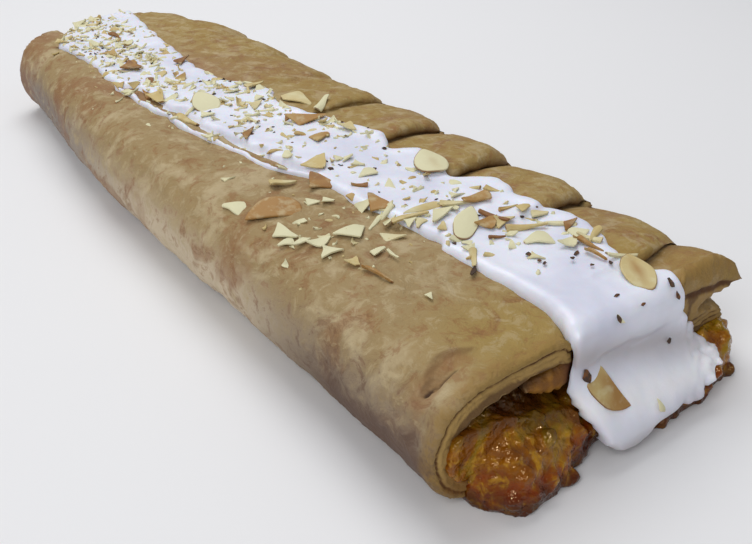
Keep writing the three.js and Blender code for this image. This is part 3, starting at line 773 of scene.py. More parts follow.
def lump(radius, put):
    """A ball of triangles, each point of it where put says."""
    ball = bmesh.new()
    bmesh.ops.create_icosphere(ball, subdivisions=2, radius=radius)
    points = [tuple(put(v.co)) for v in ball.verts]
    faces = [tuple(v.index for v in f.verts) for f in ball.faces]
    ball.free()
    return points, faces


def fruit(count, reach, rise, sense, seed):
    """Lumps of fruit bedded in the bead of filling."""
    chance = np.random.default_rng(seed)
    parts = []
    for _ in range(count):
        x = chance.uniform(reach[0][0] + 3, reach[-1][0] - 3)
        back = slant(x, LENGTH) if sense > 0 else 0
        depth, top = along(reach, x), along(rise, x)
        angle = chance.uniform(0.05, 1.5)
        size = chance.uniform(*FRUIT_SIZES)
        middle = Vector((x, back + sense * (depth * math.cos(angle) - 0.4 * size),
                         max(0.8, top * math.sin(angle) - 0.25 * size)))
        stretch = Matrix.Diagonal([chance.uniform(*span) for span in FRUIT_STRETCH])
        turn = Euler(chance.uniform(0, 6.28, 3)).to_matrix()
        parts.append(lump(size, lambda point: middle + turn @ (stretch @ point)))
    return parts


def together(parts):
    points, faces = [], []
    for some_points, some_faces in parts:
        faces += [tuple(len(points) + i for i in face) for face in some_faces]
        points += list(some_points)
    return points, faces


def soften(piece, rounds):
    """Evens a skin out by moving each vertex towards the middle of those around it."""
    mesh = piece.data
    pairs = np.empty(len(mesh.edges) * 2, int)
    mesh.edges.foreach_get("vertices", pairs)
    one, two = pairs.reshape(-1, 2).T
    count = len(mesh.vertices)
    around = np.bincount(one, minlength=count) + np.bincount(two, minlength=count)
    at = places(piece)
    for _ in range(rounds):
        total = np.stack([np.bincount(one, at[two, axis], count) + np.bincount(two, at[one, axis], count)
                          for axis in range(3)], axis=1)
        at = 0.5 * at + 0.5 * total / np.maximum(around, 1)[:, None]
    move_to(piece, at)


def settled(name, live):
    """A plain piece with the shape that an object's modifier gives it. The object itself goes."""
    view = bpy.context.evaluated_depsgraph_get()
    mesh = bpy.data.meshes.new_from_object(live.evaluated_get(view))
    mesh.name = name
    bpy.data.objects.remove(live)
    return shown(name, mesh)


def fused(name, parts, voxel, rounds):
    """Overlapping closed shapes as one even skin of small faces, softened."""
    rough = solid_piece(name + "_rough", *together(parts))
    wrap = rough.modifiers.new("skin", "REMESH")
    wrap.mode, wrap.voxel_size, wrap.adaptivity = "VOXEL", voxel / 1000, 0
    piece = settled(name, rough)
    piece.data.shade_smooth()
    soften(piece, rounds)
    return piece


filling_near = fused("filling_near", [core_part(*NEAR_CORE, 14), ooze(NEAR_OOZE, NEAR_RISE, -1)]
                     + fruit(NEAR_FRUIT, NEAR_OOZE, NEAR_RISE, -1, 3), NEAR_GRAIN, 1)
filling_middle = solid_piece("filling_middle", *core_part(*MIDDLE_CORE, 24))
filling_far = fused("filling_far", [core_part(*FAR_CORE, 8), ooze(FAR_OOZE, FAR_RISE, 1)]
                    + fruit(FAR_FRUIT, FAR_OOZE, FAR_RISE, 1, 5), FAR_GRAIN, 2)
for piece in (filling_near, filling_far):
    at = places(piece)
    x, y, z = at.T
    ripple = 0.8 * unevenness(at, 6, 11) + 0.6 * unevenness(at, 2.6, 12)
    move_to(piece, at + directions(piece) * (ripple * ease(z / 1.5))[:, None])
    # Painted shade in the filling: its dips, and where it lies under the flap's fold and under the lip, are
    # marked to be darkened.
    sheltered = ease((z - along(SUNK_LINE, x) + 4) / 3.5) * (x < -6) * (y < 20)
    under_lip = ease((y + 0.8) / 2.2) * (y < 20) * ease((x + 42) / 5) * ease((-16 - x) / 5)
    shaded = np.maximum(sheltered, 1.5 * under_lip)
    mark(piece.data, "hollow", np.maximum(ease((-0.15 - ripple) / 0.7), shaded))

AMBER, HONEY, FRUIT_GREEN = linear(160, 100, 8), linear(196, 146, 34), linear(146, 114, 24)
BURNT, CARAMEL, RED_BROWN = linear(54, 16, 4), linear(122, 66, 8), linear(132, 42, 6)
HOLLOW_SHADE_BROWN = linear(64, 28, 8)
stew = Finish("baked_filling", CARAMEL, Specular_IOR_Level=0.5, Specular_Tint=(1, 0.72, 0.4, 1))
height_up = stew.axes()[2]
swirl, pulp, beads = stew.pattern(8, 3, 0.6, 0.6), stew.pattern(2.6, 3, 0.6, 0.5), stew.pattern(1.1)
low_edge = height_up + (swirl - 0.5) * 0.014
stew.coat(swirl.ramp(0.38, 0.6), AMBER)
stew.coat(swirl.ramp(0.5, 0.64) * height_up.ramp(0.004, 0.01), FRUIT_GREEN)
stew.coat(pulp.ramp(0.52, 0.68) * 0.6, HONEY)
stew.coat(pulp.ramp(0.46, 0.34) * 0.5, CARAMEL)
# Painted shade: the dips of the filling and the filling under the fold and lip darkened brown.
stew.coat(stew.stored("hollow") * 0.62, HOLLOW_SHADE_BROWN)
stew.coat(low_edge.ramp(0.013, 0.004) * pulp.ramp(0.62, 0.4) * 0.9, RED_BROWN)
stew.coat((low_edge + (pulp - 0.5) * 0.008).ramp(0.008, 0.001) * 0.85, BURNT)
filling_finish = stew.done(Roughness=0.1 + pulp.ramp(0.45, 0.7) * 0.14,
                           Normal=(pulp * 0.5 + beads * 0.5).bump(1.7, 1.0))
for piece in (filling_near, filling_middle, filling_far):
    piece.data.materials.append(filling_finish)
    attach(piece, "root")
    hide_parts("filling")

# The icing. Sugar icing was poured along the open seam while it was still runny. It set with thick
# rounded edges, and ran down over the near end in a curtain with a drip and a ragged right edge.
# Halfway along, a thin ribbon of it runs apart from the rest on the plain flap.
ICING_LEFT = [(0, -15), (12, -11.5), (32, -12), (44, -13.4), (49, -14), (54, -10.5), (59, -13), (90, -17),
              (104, -16), (130, -26), (170, -31), (220, -34), (260, -31), (296, -33), (304, -28), (317, -16),
              (LENGTH, -11)]
ICING_RIGHT = [(0, 27), (5, 28), (9, 23.5), (14, 21.5), (20, 24), (28, 28), (42, 32), (58, 26), (72, 30),
               (84, 20), (106, 26), (112, 18), (126, 23), (150, 16), (172, 11), (190, 15), (208, 5),
               (235, 5), (265, 9), (LENGTH, 17)]
ICING_START, ICING_ROOT, ICING_BEAD, ICING_ROLL = -2.6, 2.6, 2.6, 6
ICING_THICK = [(60, 2.5), (130, 1.9)]
CURTAIN_TOP = [(-14.5, 33), (24, 33.5), (28, 25), (32, 17), (CURTAIN_SIDE, 14)]
CURTAIN_FOOT = [(-14.5, 19), (-11.5, 12), (-9, 6), (-4, 2.6), (0, 1.9), (4, 2.4), (9, 4.6), (26, 6),
                (32, 9.5), (CURTAIN_SIDE, 12)]
CURTAIN_FRONT = [(0, 13.6), (3, 14), (6, 13.8), (9, 12.8), (12, 10.6), (15, 7.8), (18, 4.9), (20, 3.0),
                 (22.5, 1.8), (26, 1.6), (29, 2.4), (31, 2.5), (33, 1.2)]
CURTAIN_RIGHT = [(0, 12.2), (8, 11), (13, 9.2), (17, 6.4), (21, 3.8), (33, 1.6)]
GAP_FROM, GAP_TO, RIBBON_WIDTH, GAP_WIDTH = 108, 216, 2.3, 5
CURTAIN_THICK, ICING_GRAIN = 3.4, 0.8
ICING_CRUMBS, CRUMB_REACH, CRUMB_SIZES = 54, (22, 37), (1, 2)


def tabs_at(x, y):
    """The real surface of the tabs at a place, and the even one that ignores their lift."""
    fade = blend(1, 0.45, np.clip(y / LENGTH, 0, 1))
    lift = fade * blend(LOW_LIFT, HIGH_LIFT, tab_level(tab_share(y) * TAB_PITCH))
    return tab_height(x, y, lift), tab_height(x, y, 0.5)


def icing_bed(x, y):
    """The surface under the icing: the flap, a bridge over the seam and the tabs."""
    y = np.clip(y, 0, LENGTH)
    lip, heel = along(LIP_LINE, y), along(HEEL_LINE, y)
    real, even = tabs_at(np.maximum(x, heel), y + slit_lean(x))
    over_tabs = blend(even, real, 0.55)
    bridge = blend(flap_height(lip, y), over_tabs, np.clip((x - lip) / (heel - lip), 0, 1))
    return np.where(x < lip, flap_height(x, y), np.where(x > heel, over_tabs, bridge))


def wander(place):
    """Soft noise of about -1 to 1 at one place."""
    return noise.fractal(place, 1, 2, 3)


def strip():
    rings = []
    for y in np.concatenate([np.linspace(ICING_START, 6, 12), np.arange(7, LENGTH - 2, 1.4), [LENGTH - 1]]):
        waver = Vector((0, y / 9, 3.1))
        left = along(ICING_LEFT, y) + 1.3 * wander(waver)
        right = along(ICING_RIGHT, y) + 1.6 * wander(waver + Vector((9, 0, 0)))
        x = left + (right - left) * (0.5 - 0.5 * np.cos(np.linspace(0, math.pi, 56)))
        opened = ease((y - GAP_FROM) / 8) * (1 - ease((y - GAP_TO) / 10))
        inset = RIBBON_WIDTH + 0.9 * wander(waver + Vector((0, 0, 5)))
        width = opened * (GAP_WIDTH + 2.4 * wander(waver + Vector((4, 0, 5))))
        ribbon, main = np.minimum(x - left, left + inset - x), np.minimum(x - left - inset - width, right - x)
        inside = np.minimum(x - left, right - x) if width < 1 else np.maximum(ribbon, main)
        far = LENGTH - 1 - y
        inside = np.minimum(inside, max(far, 0.0) + 0.01)
        thick = along(ICING_THICK, y) * rounding(inside / ICING_BEAD)
        thick = thick * (1 + 0.15 * bell(inside, 3, 2.5))
        thick = thick + 0.5 * math.sin(y / 9) * np.clip(inside / 12, 0, 1)
        thick = np.where(inside < 0, -1.3, thick)
        rolled = curl(y - ICING_START, ICING_ROLL)
        bed = icing_bed(x, y)
        top = [(a, slant(a, y), h) for a, h in zip(x, bed + thick - rolled)]
        under = [(a, slant(a, y), h) for a, h in zip(x[::-1], bed[::-1] - ICING_ROOT - rolled)]
        rings.append(top + under)
    return capped(rings)


def curtain_depth(x, z):
    depth = blend(along(CURTAIN_FRONT, z), along(CURTAIN_RIGHT, z), ease((x - 14) / 20))
    slope = z + 0.27 * x
    depth = depth + 0.9 * bell(slope, 20, 3.2) - 0.8 * bell(slope, 27, 3)
    return depth * blend(0.35, 1, np.sqrt(np.clip((x + 15) / 5, 0, 1)))


def curtain():
    rings = []
    for x in np.linspace(CURTAIN_TOP[0][0], CURTAIN_SIDE, 64):
        ragged = ease((x - 20) / 10)
        foot = along(CURTAIN_FOOT, x) + ragged * 2.2 * wander(Vector((x / 2.4, 0, 7)))
        top = along(CURTAIN_TOP, x) + ragged * 2.0 * wander(Vector((x / 2.4, 5, 7)))
        share = np.array([0, 0.04, 0.1, 0.18, 0.27, 0.36, 0.46, 0.56, 0.67, 0.78, 0.9, 1])
        z = blend(foot, top, share)
        tuck = 3 * (1 - rounding((z - foot) / 4))
        y = np.minimum(-1, tuck - curtain_depth(x, z))
        front = [(x, a, h) for a, h in zip(y, z)]
        back = [(x, min(a + CURTAIN_THICK, -0.2), h) for a, h in zip(y[::-1], z[::-1])]
        rings.append(front + [(x, min(a, 1.0), h) for _, a, h in back])
    return capped(rings)


def icing_crumbs(count, seed):
    """Lumps where the runny icing broke up, along the right edge and foot of the curtain."""
    chance = np.random.default_rng(seed)
    parts = []
    for k in range(count):
        x = chance.uniform(*CRUMB_REACH)
        z = along(CURTAIN_TOP if k % 2 else CURTAIN_FOOT, x) + chance.uniform(-0.8, 0.8)
        y = -max(0.5, curtain_depth(x, z))
        middle = Vector((x + chance.uniform(-0.6, 0.6), y + chance.uniform(0.4, 2), z))
        parts.append(lump(chance.uniform(*CRUMB_SIZES), lambda point: middle + point))
    return parts


icing = fused("icing_coat", [strip(), curtain()] + icing_crumbs(ICING_CRUMBS, 41), ICING_GRAIN, 3)
at = places(icing)
x, y, z = at.T
crumbly = ease((x - 24) / 8) * ease((26 - z) / 4) * ease(-y / 2)
wave = 0.35 * unevenness(at, 14, 21) + 0.1 * unevenness(at, 4, 22)
wave += crumbly * (1.1 * unevenness(at, 2.8, 23) + 0.5 * unevenness(at, 1.5, 24))
move_to(icing, at + directions(icing) * wave[:, None])
# Painted shade on the curtain: a band in its hollow under the rolled top edge, and its foot and drip.
curtain_shade = bell(z + 0.27 * x, 26.5, 5) + 1.25 * bell(z, 1.5, 6)
mark(icing.data, "curtain_shade", curtain_shade * ease(-y / 1.5))
# Painted light on the curtain's bulge, where the icing also lies thickest: a whiter tint there.
mark(icing.data, "thick", bell(z + 0.1 * x, 15.5, 4.5) * ease(-y / 3))

ICING_WHITE, ICING_SHADE = linear(232, 234, 246), linear(212, 214, 230)
ICING_SHADE_GREY, ICING_THICK_LIT_WHITE = linear(178, 171, 172), linear(250, 250, 255)
sugar = Finish("set_icing", ICING_WHITE, Specular_IOR_Level=0.4, Subsurface_Weight=0.15,
               Subsurface_Scale=0.002)
cloud = sugar.pattern(14, 3).ramp(0.4, 0.7)
sugar.coat(cloud, ICING_SHADE)
# Painted shade: the curtain's hollow and its foot greyed.
sugar.coat(sugar.stored("curtain_shade") * 0.8, ICING_SHADE_GREY)
# Painted light on the curtain's bulge, partly as thicker icing: a whiter tint.
sugar.coat(sugar.stored("thick") * 0.9, ICING_THICK_LIT_WHITE)
icing.data.materials.append(sugar.done(
    Roughness=0.34 + cloud * 0.2, Normal=sugar.pattern(1.4, 3, 0.6).bump(0.12, 0.6)))
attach(icing, "root")
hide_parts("icing")

# The almonds. Whole almonds were sliced thin, with a rim of brown skin left on, and broken by hand
# over the bar: whole slices, broken bits, slivers, crumbs and loose flakes of skin. Each laid bit has
# the place it lies on, its length and width, its turn, its tip and its tone, from pale flesh to skin.
CAMERA_AT = (-158.069, -109.637, 160.466)
LAID = {
    "bit": [(-12, 81, 37, 9.9, 7.4, 75, 0.1, 0.88), (-16, 83, 36, 5.4, 4.4, 18, 0, 0.25),
        (-4, 62, 38, 9.5, 6.1, -2, 0, 0.25), (4, 50, 38, 9.1, 4.7, -1, 0.1, 0.72),
        (9, 49, 38, 7.7, 4.2, 0, 0, 0.4), (9, 36, 38, 8.6, 7.5, -23, 0, 0.15),
        (2, 39, 37, 4.3, 3.1, 75, 0, 0.2), (-7, 46, 37, 3.8, 3.1, 75, 0, 0.2),
        (16, 48, 40, 4.5, 4.2, -9, 0, 0.6), (20, 46, 38, 6.8, 3.5, -6, 0.1, 0.3),
        (22, 36, 38, 7.1, 3.8, 3, 0.1, 0.95), (14, 28, 38, 6.9, 4.6, -10, 0, 0.2),
        (2, 29, 38, 4.9, 2.7, -49, 0, 0.35), (18, 172, 34, 13.1, 9.5, 89, 0.1, 0.5),
        (5, 146, 38, 12.1, 10.6, 7, 0.1, 0.78), (3, 155, 36, 8.5, 3.1, 42, 0, 1),
        (0, 129, 38, 8.3, 6.2, 7, 0, 0.75), (14, 132, 37, 7.8, 5.2, -74, 0, 0.5),
        (-18, 148, 37, 11, 3.9, 36, 0, 0.95), (-12, 113, 37, 10, 8.6, 0, 0, 0.5),
        (-18, 105, 35, 11.3, 9.8, 90, 0.1, 0.9), (-46, 107, 35, 8.5, 6.3, -71, 0, 0.15),
        (-43, 82, 36, 8.2, 6.7, -49, 0, 0.1), (-30, 70, 37, 9.8, 7.9, -25, 0, 0.1),
        (-26, 96, 35, 4.5, 4.1, 84, 0, 0.1), (-22, 93, 35, 4.4, 3.2, -17, 0, 0.1),
        (-42, 76, 35, 5.1, 3.9, -36, 0, 0.15), (-40, 70, 37, 7.7, 4.7, -13, 0, 0.1),
        (-39, 66, 36, 6.7, 4.7, -20, 0, 0.12), (-45, 80, 34, 5, 3.4, -21, 0, 0.1),
        (-20, 63, 36, 6.7, 4.6, -8, 0, 0.3), (-4, 97, 38, 8.4, 5.8, 13, 0, 0.2),
        (-29, 58, 36, 5.1, 3.2, -1, 0, 0.15), (-37, 58, 36, 4.6, 4, -72, 0, 0.5),
        (-32, 33, 36, 2.9, 2.6, 34, 0, 0.1), (-22, 237, 36, 9.7, 8.1, -87, 0, 1),
        (-19, 262, 35, 9.7, 7.2, -74, 0, 0.75), (-9, 283, 36, 9.7, 3.8, 86, 0, 1),
        (0, 234, 36, 9.7, 4.1, 45, 0, 1), (-21, 219, 36, 9.7, 3.1, 77, 0, 1),
        (-29, 205, 36, 9.2, 2.8, 83, 0, 1), (-26, 200, 36, 9.7, 5.9, -82, 0, 0.6),
        (-2, 170, 37, 7.9, 5.6, 22, 0, 0.4), (1, 61, 39, 3.9, 2.6, 83, 0, 0.3),
        (-12, 65, 37, 4.2, 3.4, 3, 0, 0.2), (-10, 64, 37, 4.9, 3.5, 24, 0, 0.35),
        (-7, 58, 37, 4.2, 3.7, 73, 0, 0.5), (10, -11, 10, 4.3, 2.1, -84, 0, 0.3),
        (0.6, -1.2, 35.4, 2.6, 1.3, 70, 0, 0)],
    "sliver": [(-5, 69, 38, 13, 4, -12, 0.1, 0.45), (3, 63, 39, 11.3, 4.1, -14, 0, 0.4),
        (11, 63, 38, 9.6, 4, -9, 0.15, 0.85), (-10, 68, 37, 12.3, 3.2, -6, 0, 0.55),
        (8, 52, 38, 9.9, 2.4, -63, 0, 1), (11, 42, 38, 12.7, 2.3, -27, 0, 0.6),
        (2, 44, 37, 5, 1.7, -28, 0, 1), (21, 38, 38, 9.2, 2.4, -48, 0, 0.3),
        (22, 27, 39, 9.1, 2.6, 19, 0, 0.6), (17, 24, 39, 9.7, 2.5, -82, 0.1, 0.9),
        (18, 25, 40, 7.5, 2.2, -70, 0, 0.4), (14, 19, 39, 7.2, 2, -80, 0, 0.85),
        (18, 14, 40, 11, 1.7, -12, 0.15, 0.3), (22, 161, 35, 13, 3.4, 38, 0.1, 0.25),
        (-27, 110, 35, 8.9, 4.1, -15, 0, 0.5), (-18, 74, 35, 12, 2, 33, 0, 0.2),
        (-14, 74, 37, 6.9, 2.2, 16, 0, 0.2), (-15, 71, 35, 8.1, 1.8, 27, 0, 0.25),
        (-10, 93, 37, 5.4, 2.1, -35, 0, 1), (-36, 49, 36, 11.2, 1.7, -78, 0, 0.95),
        (-27, 54, 36, 5.2, 1.2, -86, 0, 0.3), (-28, 173, 36, 13, 3.5, -84, 0, 0.6),
        (10, 190, 36, 9.6, 4.3, 15, 0, 0.5)],
    "slice": [(-2, 53, 38, 16, 7.2, 37, 0.22, 0), (16, 7, 39, 15.5, 9, 62, 0.12, 0.5),
        (16, 90, 38, 13, 11.5, 78, 0.22, 0.25), (-18, 178, 38, 14, 10.5, 82, 0.36, 0.05)],
    "half": [(-6.5, -6, 20, 16.5, 9, -52, 0, 0.79), (-40, 95, 36, 17.5, 11.5, 172, 0.14, 0.9)],
    "skin": [(1, 27, 38, 1.4, 1.4, -85, 0, 0), (14, 14, 39, 1.7, 1.2, 79, 0, 0),
        (21.3, 0.4, 37, 3.7, 1.3, 60, 0, 0), (22.6, -1.7, 34.2, 2.6, 1.2, 60, 0, 0),
        (1, 25, 38, 1.9, 0.9, 19, 0, 0), (7, 21, 39, 1.5, 1.3, 54, 0, 0), (5, 4, 38, 1.9, 0.9, 10, 0, 0),
        (1, 31, 38, 1.9, 1.8, 72, 0, 0), (-0.5, -1.2, 35.2, 2.6, 1.3, 70, 0, 0),
        (-11.8, -3.2, 24.9, 4.4, 2.6, -60, 0, 0), (19, -4, 23, 1.8, 1.3, 27, 0, 0),
        (-14, 36, 35, 4.9, 1.4, 32, 0, 0.8), (11, 23, 39, 2.8, 1, 14, 0, 0), (9, 16, 39, 1.4, 1, 9, 0, 0),
        (9, -1, 36, 1.8, 0.8, 14, 0, 0)],
}
SHAPE_COUNT = 8
LAID_CLEAR, LAID_STEP = 0.0004, 0.00035
CUTS = {"slice": 0, "half": 1, "sliver": 2, "bit": 3, "skin": 4, "crumb": 4}
THICKNESS = {"slice": 0.075, "half": 0.085, "sliver": 0.07, "bit": 0.065, "skin": 0.05, "crumb": 0.3}
RIM_RINGS = [(0.12, -1, 0), (0.55, -1, 0), (0.93, -1, 0.4), (1, -0.6, 1), (1, 0.6, 1), (0.93, 1, 0.4),
             (0.55, 1, 0), (0.12, 1, 0)]


def with_next(outline):
    """Each point of a closed outline, with the one that follows."""
    return zip(outline, outline[1:] + outline[:1])


def trimmed(outline, angle, reach):
    """A flat outline cut off along a line. Each point is x, y and whether its edge still has skin."""
    kept = []
    for (ax, ay, skinned), (bx, by, _) in with_next(outline):
        past = ax * math.cos(angle) + ay * math.sin(angle) - reach
        next_past = bx * math.cos(angle) + by * math.sin(angle) - reach
        if past <= 0:
            kept.append((ax, ay, skinned))
        if (past <= 0) != (next_past <= 0):
            share = past / (past - next_past)
            kept.append((blend(ax, bx, share), blend(ay, by, share), 0.0))
    return kept


def nut_outline(kind, chance):
    """A slice is a drop-shaped oval. The other kinds are what is left of one after breaking it."""
    turn = np.linspace(0, 2 * math.pi, 26, endpoint=False)
    reach = 0.5 + 0.018 * np.cos(3 * turn + chance.uniform(0, 6))
    reach += 0.012 * np.cos(5 * turn + chance.uniform(0, 6))
    x, y = reach * np.cos(turn), reach * np.sin(turn)
    y = y * (1 - 0.42 * np.clip(2 * x, 0, 1) ** 1.6) * (0.7 if kind != "slice" else 1)
    outline = list(zip(x, y, np.ones(len(x))))
    start = chance.uniform(0, 6.28)
    for k in range(CUTS[kind]):
        if kind == "sliver":
            angle, reach = math.pi * (k + 0.5) + chance.uniform(-0.25, 0.25), chance.uniform(0.03, 0.12)
        elif kind == "half":
            angle, reach = 1.3, 0.06
        else:
            angle = start + 2 * math.pi * k / CUTS[kind] + chance.uniform(-0.5, 0.5)
            reach = chance.uniform(0.24, 0.4) if kind == "skin" else chance.uniform(0.08, 0.28)
        outline = trimmed(outline, angle, reach)
    rough = []
    for (ax, ay, skinned), (bx, by, next_skinned) in with_next(outline):
        rough.append((ax, ay, skinned))
        long_break = skinned + next_skinned < 2 and math.hypot(bx - ax, by - ay) > 0.2
        for share in (0.35, 0.7) if long_break else ():
            rough.append((blend(ax, bx, share) + chance.uniform(-0.02, 0.02),
                          blend(ay, by, share) + chance.uniform(-0.02, 0.02), 0.0))
    if kind in ("half", "bit", "sliver"):
        rough = [tuple(blend(a, b, share) for a, b in zip(one, two))
                 for one, two in with_next(rough) for share in (0.15, 0.85)]
    flat = np.array(rough)
    low, high = flat[:, :2].min(axis=0), flat[:, :2].max(axis=0)
    flat[:, :2] = (flat[:, :2] - (low + high) / 2) / (high - low)
    return flat


def nut_shape(kind, seed):
    """A slender bit of almond one unit long and wide, slightly warped, with its skin and core marked."""
    chance = np.random.default_rng(seed)
    flat = nut_outline(kind, chance)
    middle = flat[:, :2].mean(axis=0)
    warp = chance.uniform(-0.3, 0.3, 3)
    rings, rim, core = [], [], []
    for grow, side, edge in RIM_RINGS[1:-1:2] + RIM_RINGS[-2:-1] if kind in ("crumb", "skin") else RIM_RINGS:
        x, y = (middle + (flat[:, :2] - middle) * grow).T
        lift = warp[0] * x * x + warp[1] * y * y + warp[2] * x * y
        rings.append(np.stack([x, y, lift + side * THICKNESS[kind] / 2], axis=1))
        rim += list(edge * flat[:, 2])
        core += list(np.exp(-(y / 0.13) ** 2 - (x / 0.3) ** 2) * (kind == "slice"))
    points, faces = capped([[tuple(p) for p in ring] for ring in rings])
    return points, faces, rim, core


def shapes_of(kind, seeds):
    """A collection of differently broken bits of one kind, kept out of the scene."""
    group = bpy.data.collections.new(kind + "_shapes")
    for seed in seeds:
        points, faces, rim, core = nut_shape(kind, seed)
        mesh = bpy.data.meshes.new(f"{kind}_{seed}")
        mesh.from_pydata(points, [], faces)
        mark(mesh, "rim", rim)
        mark(mesh, "core", core)
        work = bmesh.new()
        work.from_mesh(mesh)
        bmesh.ops.recalc_face_normals(work, faces=work.faces)
        bmesh.ops.triangulate(work, faces=[f for f in work.faces if len(f.verts) > 4])
        work.to_mesh(mesh)
        work.free()
        group.objects.link(bpy.data.objects.new(f"{kind}_{seed}", mesh))
    return group


def nut_tree(name, inputs):
    """An empty tree with these inputs, and the inputs as signals by their names."""
    tree = bpy.data.node_groups.new(name, "GeometryNodeTree")
    for label, kind in inputs.items():
        tree.interface.new_socket(label, in_out="INPUT", socket_type="NodeSocket" + kind)
    tree.interface.new_socket("Nuts", in_out="OUTPUT", socket_type="NodeSocketGeometry")
    return tree, {s.name: Signal(s) for s in tree.nodes.new("NodeGroupInput").outputs if s.name}


def carried(tree, name, kind="FLOAT"):
    """What each point or corner carries under a name."""
    return Signal.node(tree, "GeometryNodeInputNamedAttribute", {"data_type": kind}, {"Name": name})


def nuts_on(points, given, inputs):
    """One of the shapes on each point."""
    pool = points.beside("GeometryNodeCollectionInfo", {}, {
        "Collection": given["Shapes"], "Separate Children": True, "Reset Children": True})
    return points.beside("GeometryNodeInstanceOnPoints", {}, {
        "Points": points, "Instance": pool, "Pick Instance": True, **inputs})


def completed(tree, nuts, given):
    """Ends a tree with real nuts in their own finish."""
    real = nuts.beside("GeometryNodeRealizeInstances", {}, {0: nuts})
    done = nuts.beside("GeometryNodeSetMaterial", {}, {"Geometry": real, "Material": given["Finish"]})
    tree.links.new(done.socket, tree.nodes.new("NodeGroupOutput").inputs[0])
    return tree


def laying_tree():
    """Lays one bit of almond on each point, turned and sized as the point says."""
    tree, given = nut_tree("lay_nuts", {"Points": "Geometry", "Shapes": "Collection", "Finish": "Material"})
    turn, size = carried(tree, "turn", "FLOAT_VECTOR"), carried(tree, "size", "FLOAT_VECTOR")
    pick = carried(tree, "pick", "INT")
    rotation = turn.beside("FunctionNodeEulerToRotation", {}, {0: turn})
    laid = nuts_on(given["Points"], given, {"Instance Index": pick, "Rotation": rotation, "Scale": size})
    return completed(tree, laid, given)


def strewing_tree():
    """Strews bits of almond over a surface, thickest where its sprinkle mark is high."""
    tree, given = nut_tree("strew_nuts", {
        "Surface": "Geometry", "Shapes": "Collection", "Finish": "Material", "Per Square Metre": "Float",
        "Smallest": "Float", "Largest": "Float", "Narrow": "Float", "Deep": "Float", "Tilt": "Float",
        "Seed": "Int"})
    density = carried(tree, "sprinkle")
    points = density.beside("GeometryNodeDistributePointsOnFaces", {}, {
        "Mesh": given["Surface"], "Density": density * given["Per Square Metre"], "Seed": given["Seed"]})
    upright = Signal(points.socket.node.outputs["Rotation"])

    def chance(kind, low, high, step):
        """A random number or direction for each point, with a seed of its own."""
        first, output = {"FLOAT": (2, 1), "FLOAT_VECTOR": (0, 0), "INT": (4, 2)}[kind]
        return density.beside("FunctionNodeRandomValue", {"data_type": kind}, {
            "Seed": given["Seed"] + step, first: low, first + 1: high}, output)

    tilt = density.beside("ShaderNodeCombineXYZ", {}, {0: given["Tilt"], 1: given["Tilt"], 2: math.pi})
    lean = density.beside("ShaderNodeVectorMath", {"operation": "MULTIPLY"}, {
        0: chance("FLOAT_VECTOR", (-1, -1, -1), (1, 1, 1), 1), 1: tilt})
    turned = density.beside("FunctionNodeRotateRotation", {"rotation_space": "LOCAL"}, {
        0: upright, 1: density.beside("FunctionNodeEulerToRotation", {}, {0: lean})})
    length = chance("FLOAT", given["Smallest"], given["Largest"], 2)
    width = length * given["Narrow"] * chance("FLOAT", 0.7, 1.3, 3)
    size = density.beside("ShaderNodeCombineXYZ", {}, {0: length, 1: width, 2: given["Deep"]})
    laid = nuts_on(points, given, {
        "Instance Index": chance("INT", 0, SHAPE_COUNT - 1, 4), "Rotation": turned, "Scale": size})
    toned = laid.beside("GeometryNodeStoreNamedAttribute", {"data_type": "FLOAT", "domain": "INSTANCE"}, {
        "Geometry": laid, "Name": "tone", "Value": chance("FLOAT", -0.35, 0.75, 5)})
    return completed(tree, toned, given)


def grown_on(name, carrier, tree, settings):
    """Runs a node tree on a mesh, and keeps the result as a plain piece."""
    holder = shown(name + "_bed", carrier)
    modifier = holder.modifiers.new("strew", "NODES")
    modifier.node_group = tree
    for item in tree.interface.items_tree:
        if item.name in settings:
            modifier[item.identifier] = settings[item.name]
    return settled(name, holder)


CREAM, NUT_GOLD, NUT_TAN = linear(217, 212, 174), linear(196, 174, 116), linear(164, 122, 64)
NUT_SKIN, DARK_SKIN = linear(122, 76, 36), linear(68, 50, 38)
almond = Finish("sliced_almond", CREAM, Specular_IOR_Level=0.35)
flesh, tone = almond.pattern(2.5, 3, 0.6), almond.stored("tone") + (almond.pattern(7) - 0.5) * 0.5
almond.coat(tone.ramp(0.2, 0.6), NUT_GOLD)
almond.coat(tone.ramp(0.64, 0.84), NUT_TAN)
almond.coat(tone.ramp(0.9, 1.05) * 0.8, NUT_SKIN)
almond.coat(flesh.ramp(0.48, 0.7) * 0.35, CREAM)
almond.coat(almond.stored("core") * tone.ramp(0.1, 0.5) * 0.85, NUT_TAN)
almond.coat(almond.stored("rim").ramp(0.5, 0.95) * almond.pattern(6).ramp(0.36, 0.52) * 0.85, NUT_SKIN)
nut_finish = almond.done(Roughness=0.5 + flesh * 0.2, Normal=flesh.bump(0.3, 0.6))
flakes = Finish("almond_skin", DARK_SKIN, Specular_IOR_Level=0.3)
fleck = flakes.pattern(1.2)
flakes.coat(fleck.ramp(0.5, 0.75), NUT_SKIN)
skin_finish = flakes.done(Roughness=0.6 + fleck * 0.2)

view = bpy.context.evaluated_depsgraph_get()
beds = [BVHTree.FromObject(icing, view), BVHTree.FromObject(dough, view)]


def on_bar(place):
    """The surface seen at a place from where the bar is looked at: its point in metres and direction."""
    eye = Vector((np.array(CAMERA_AT) + BAR_AT) / 1000)
    sight = (Vector((np.array(place) + BAR_AT) / 1000) - eye).normalized()
    hits = [bed.ray_cast(eye, sight) for bed in beds]
    point, normal, *_ = min((hit for hit in hits if hit[0]), key=lambda hit: hit[3])
    return point, normal


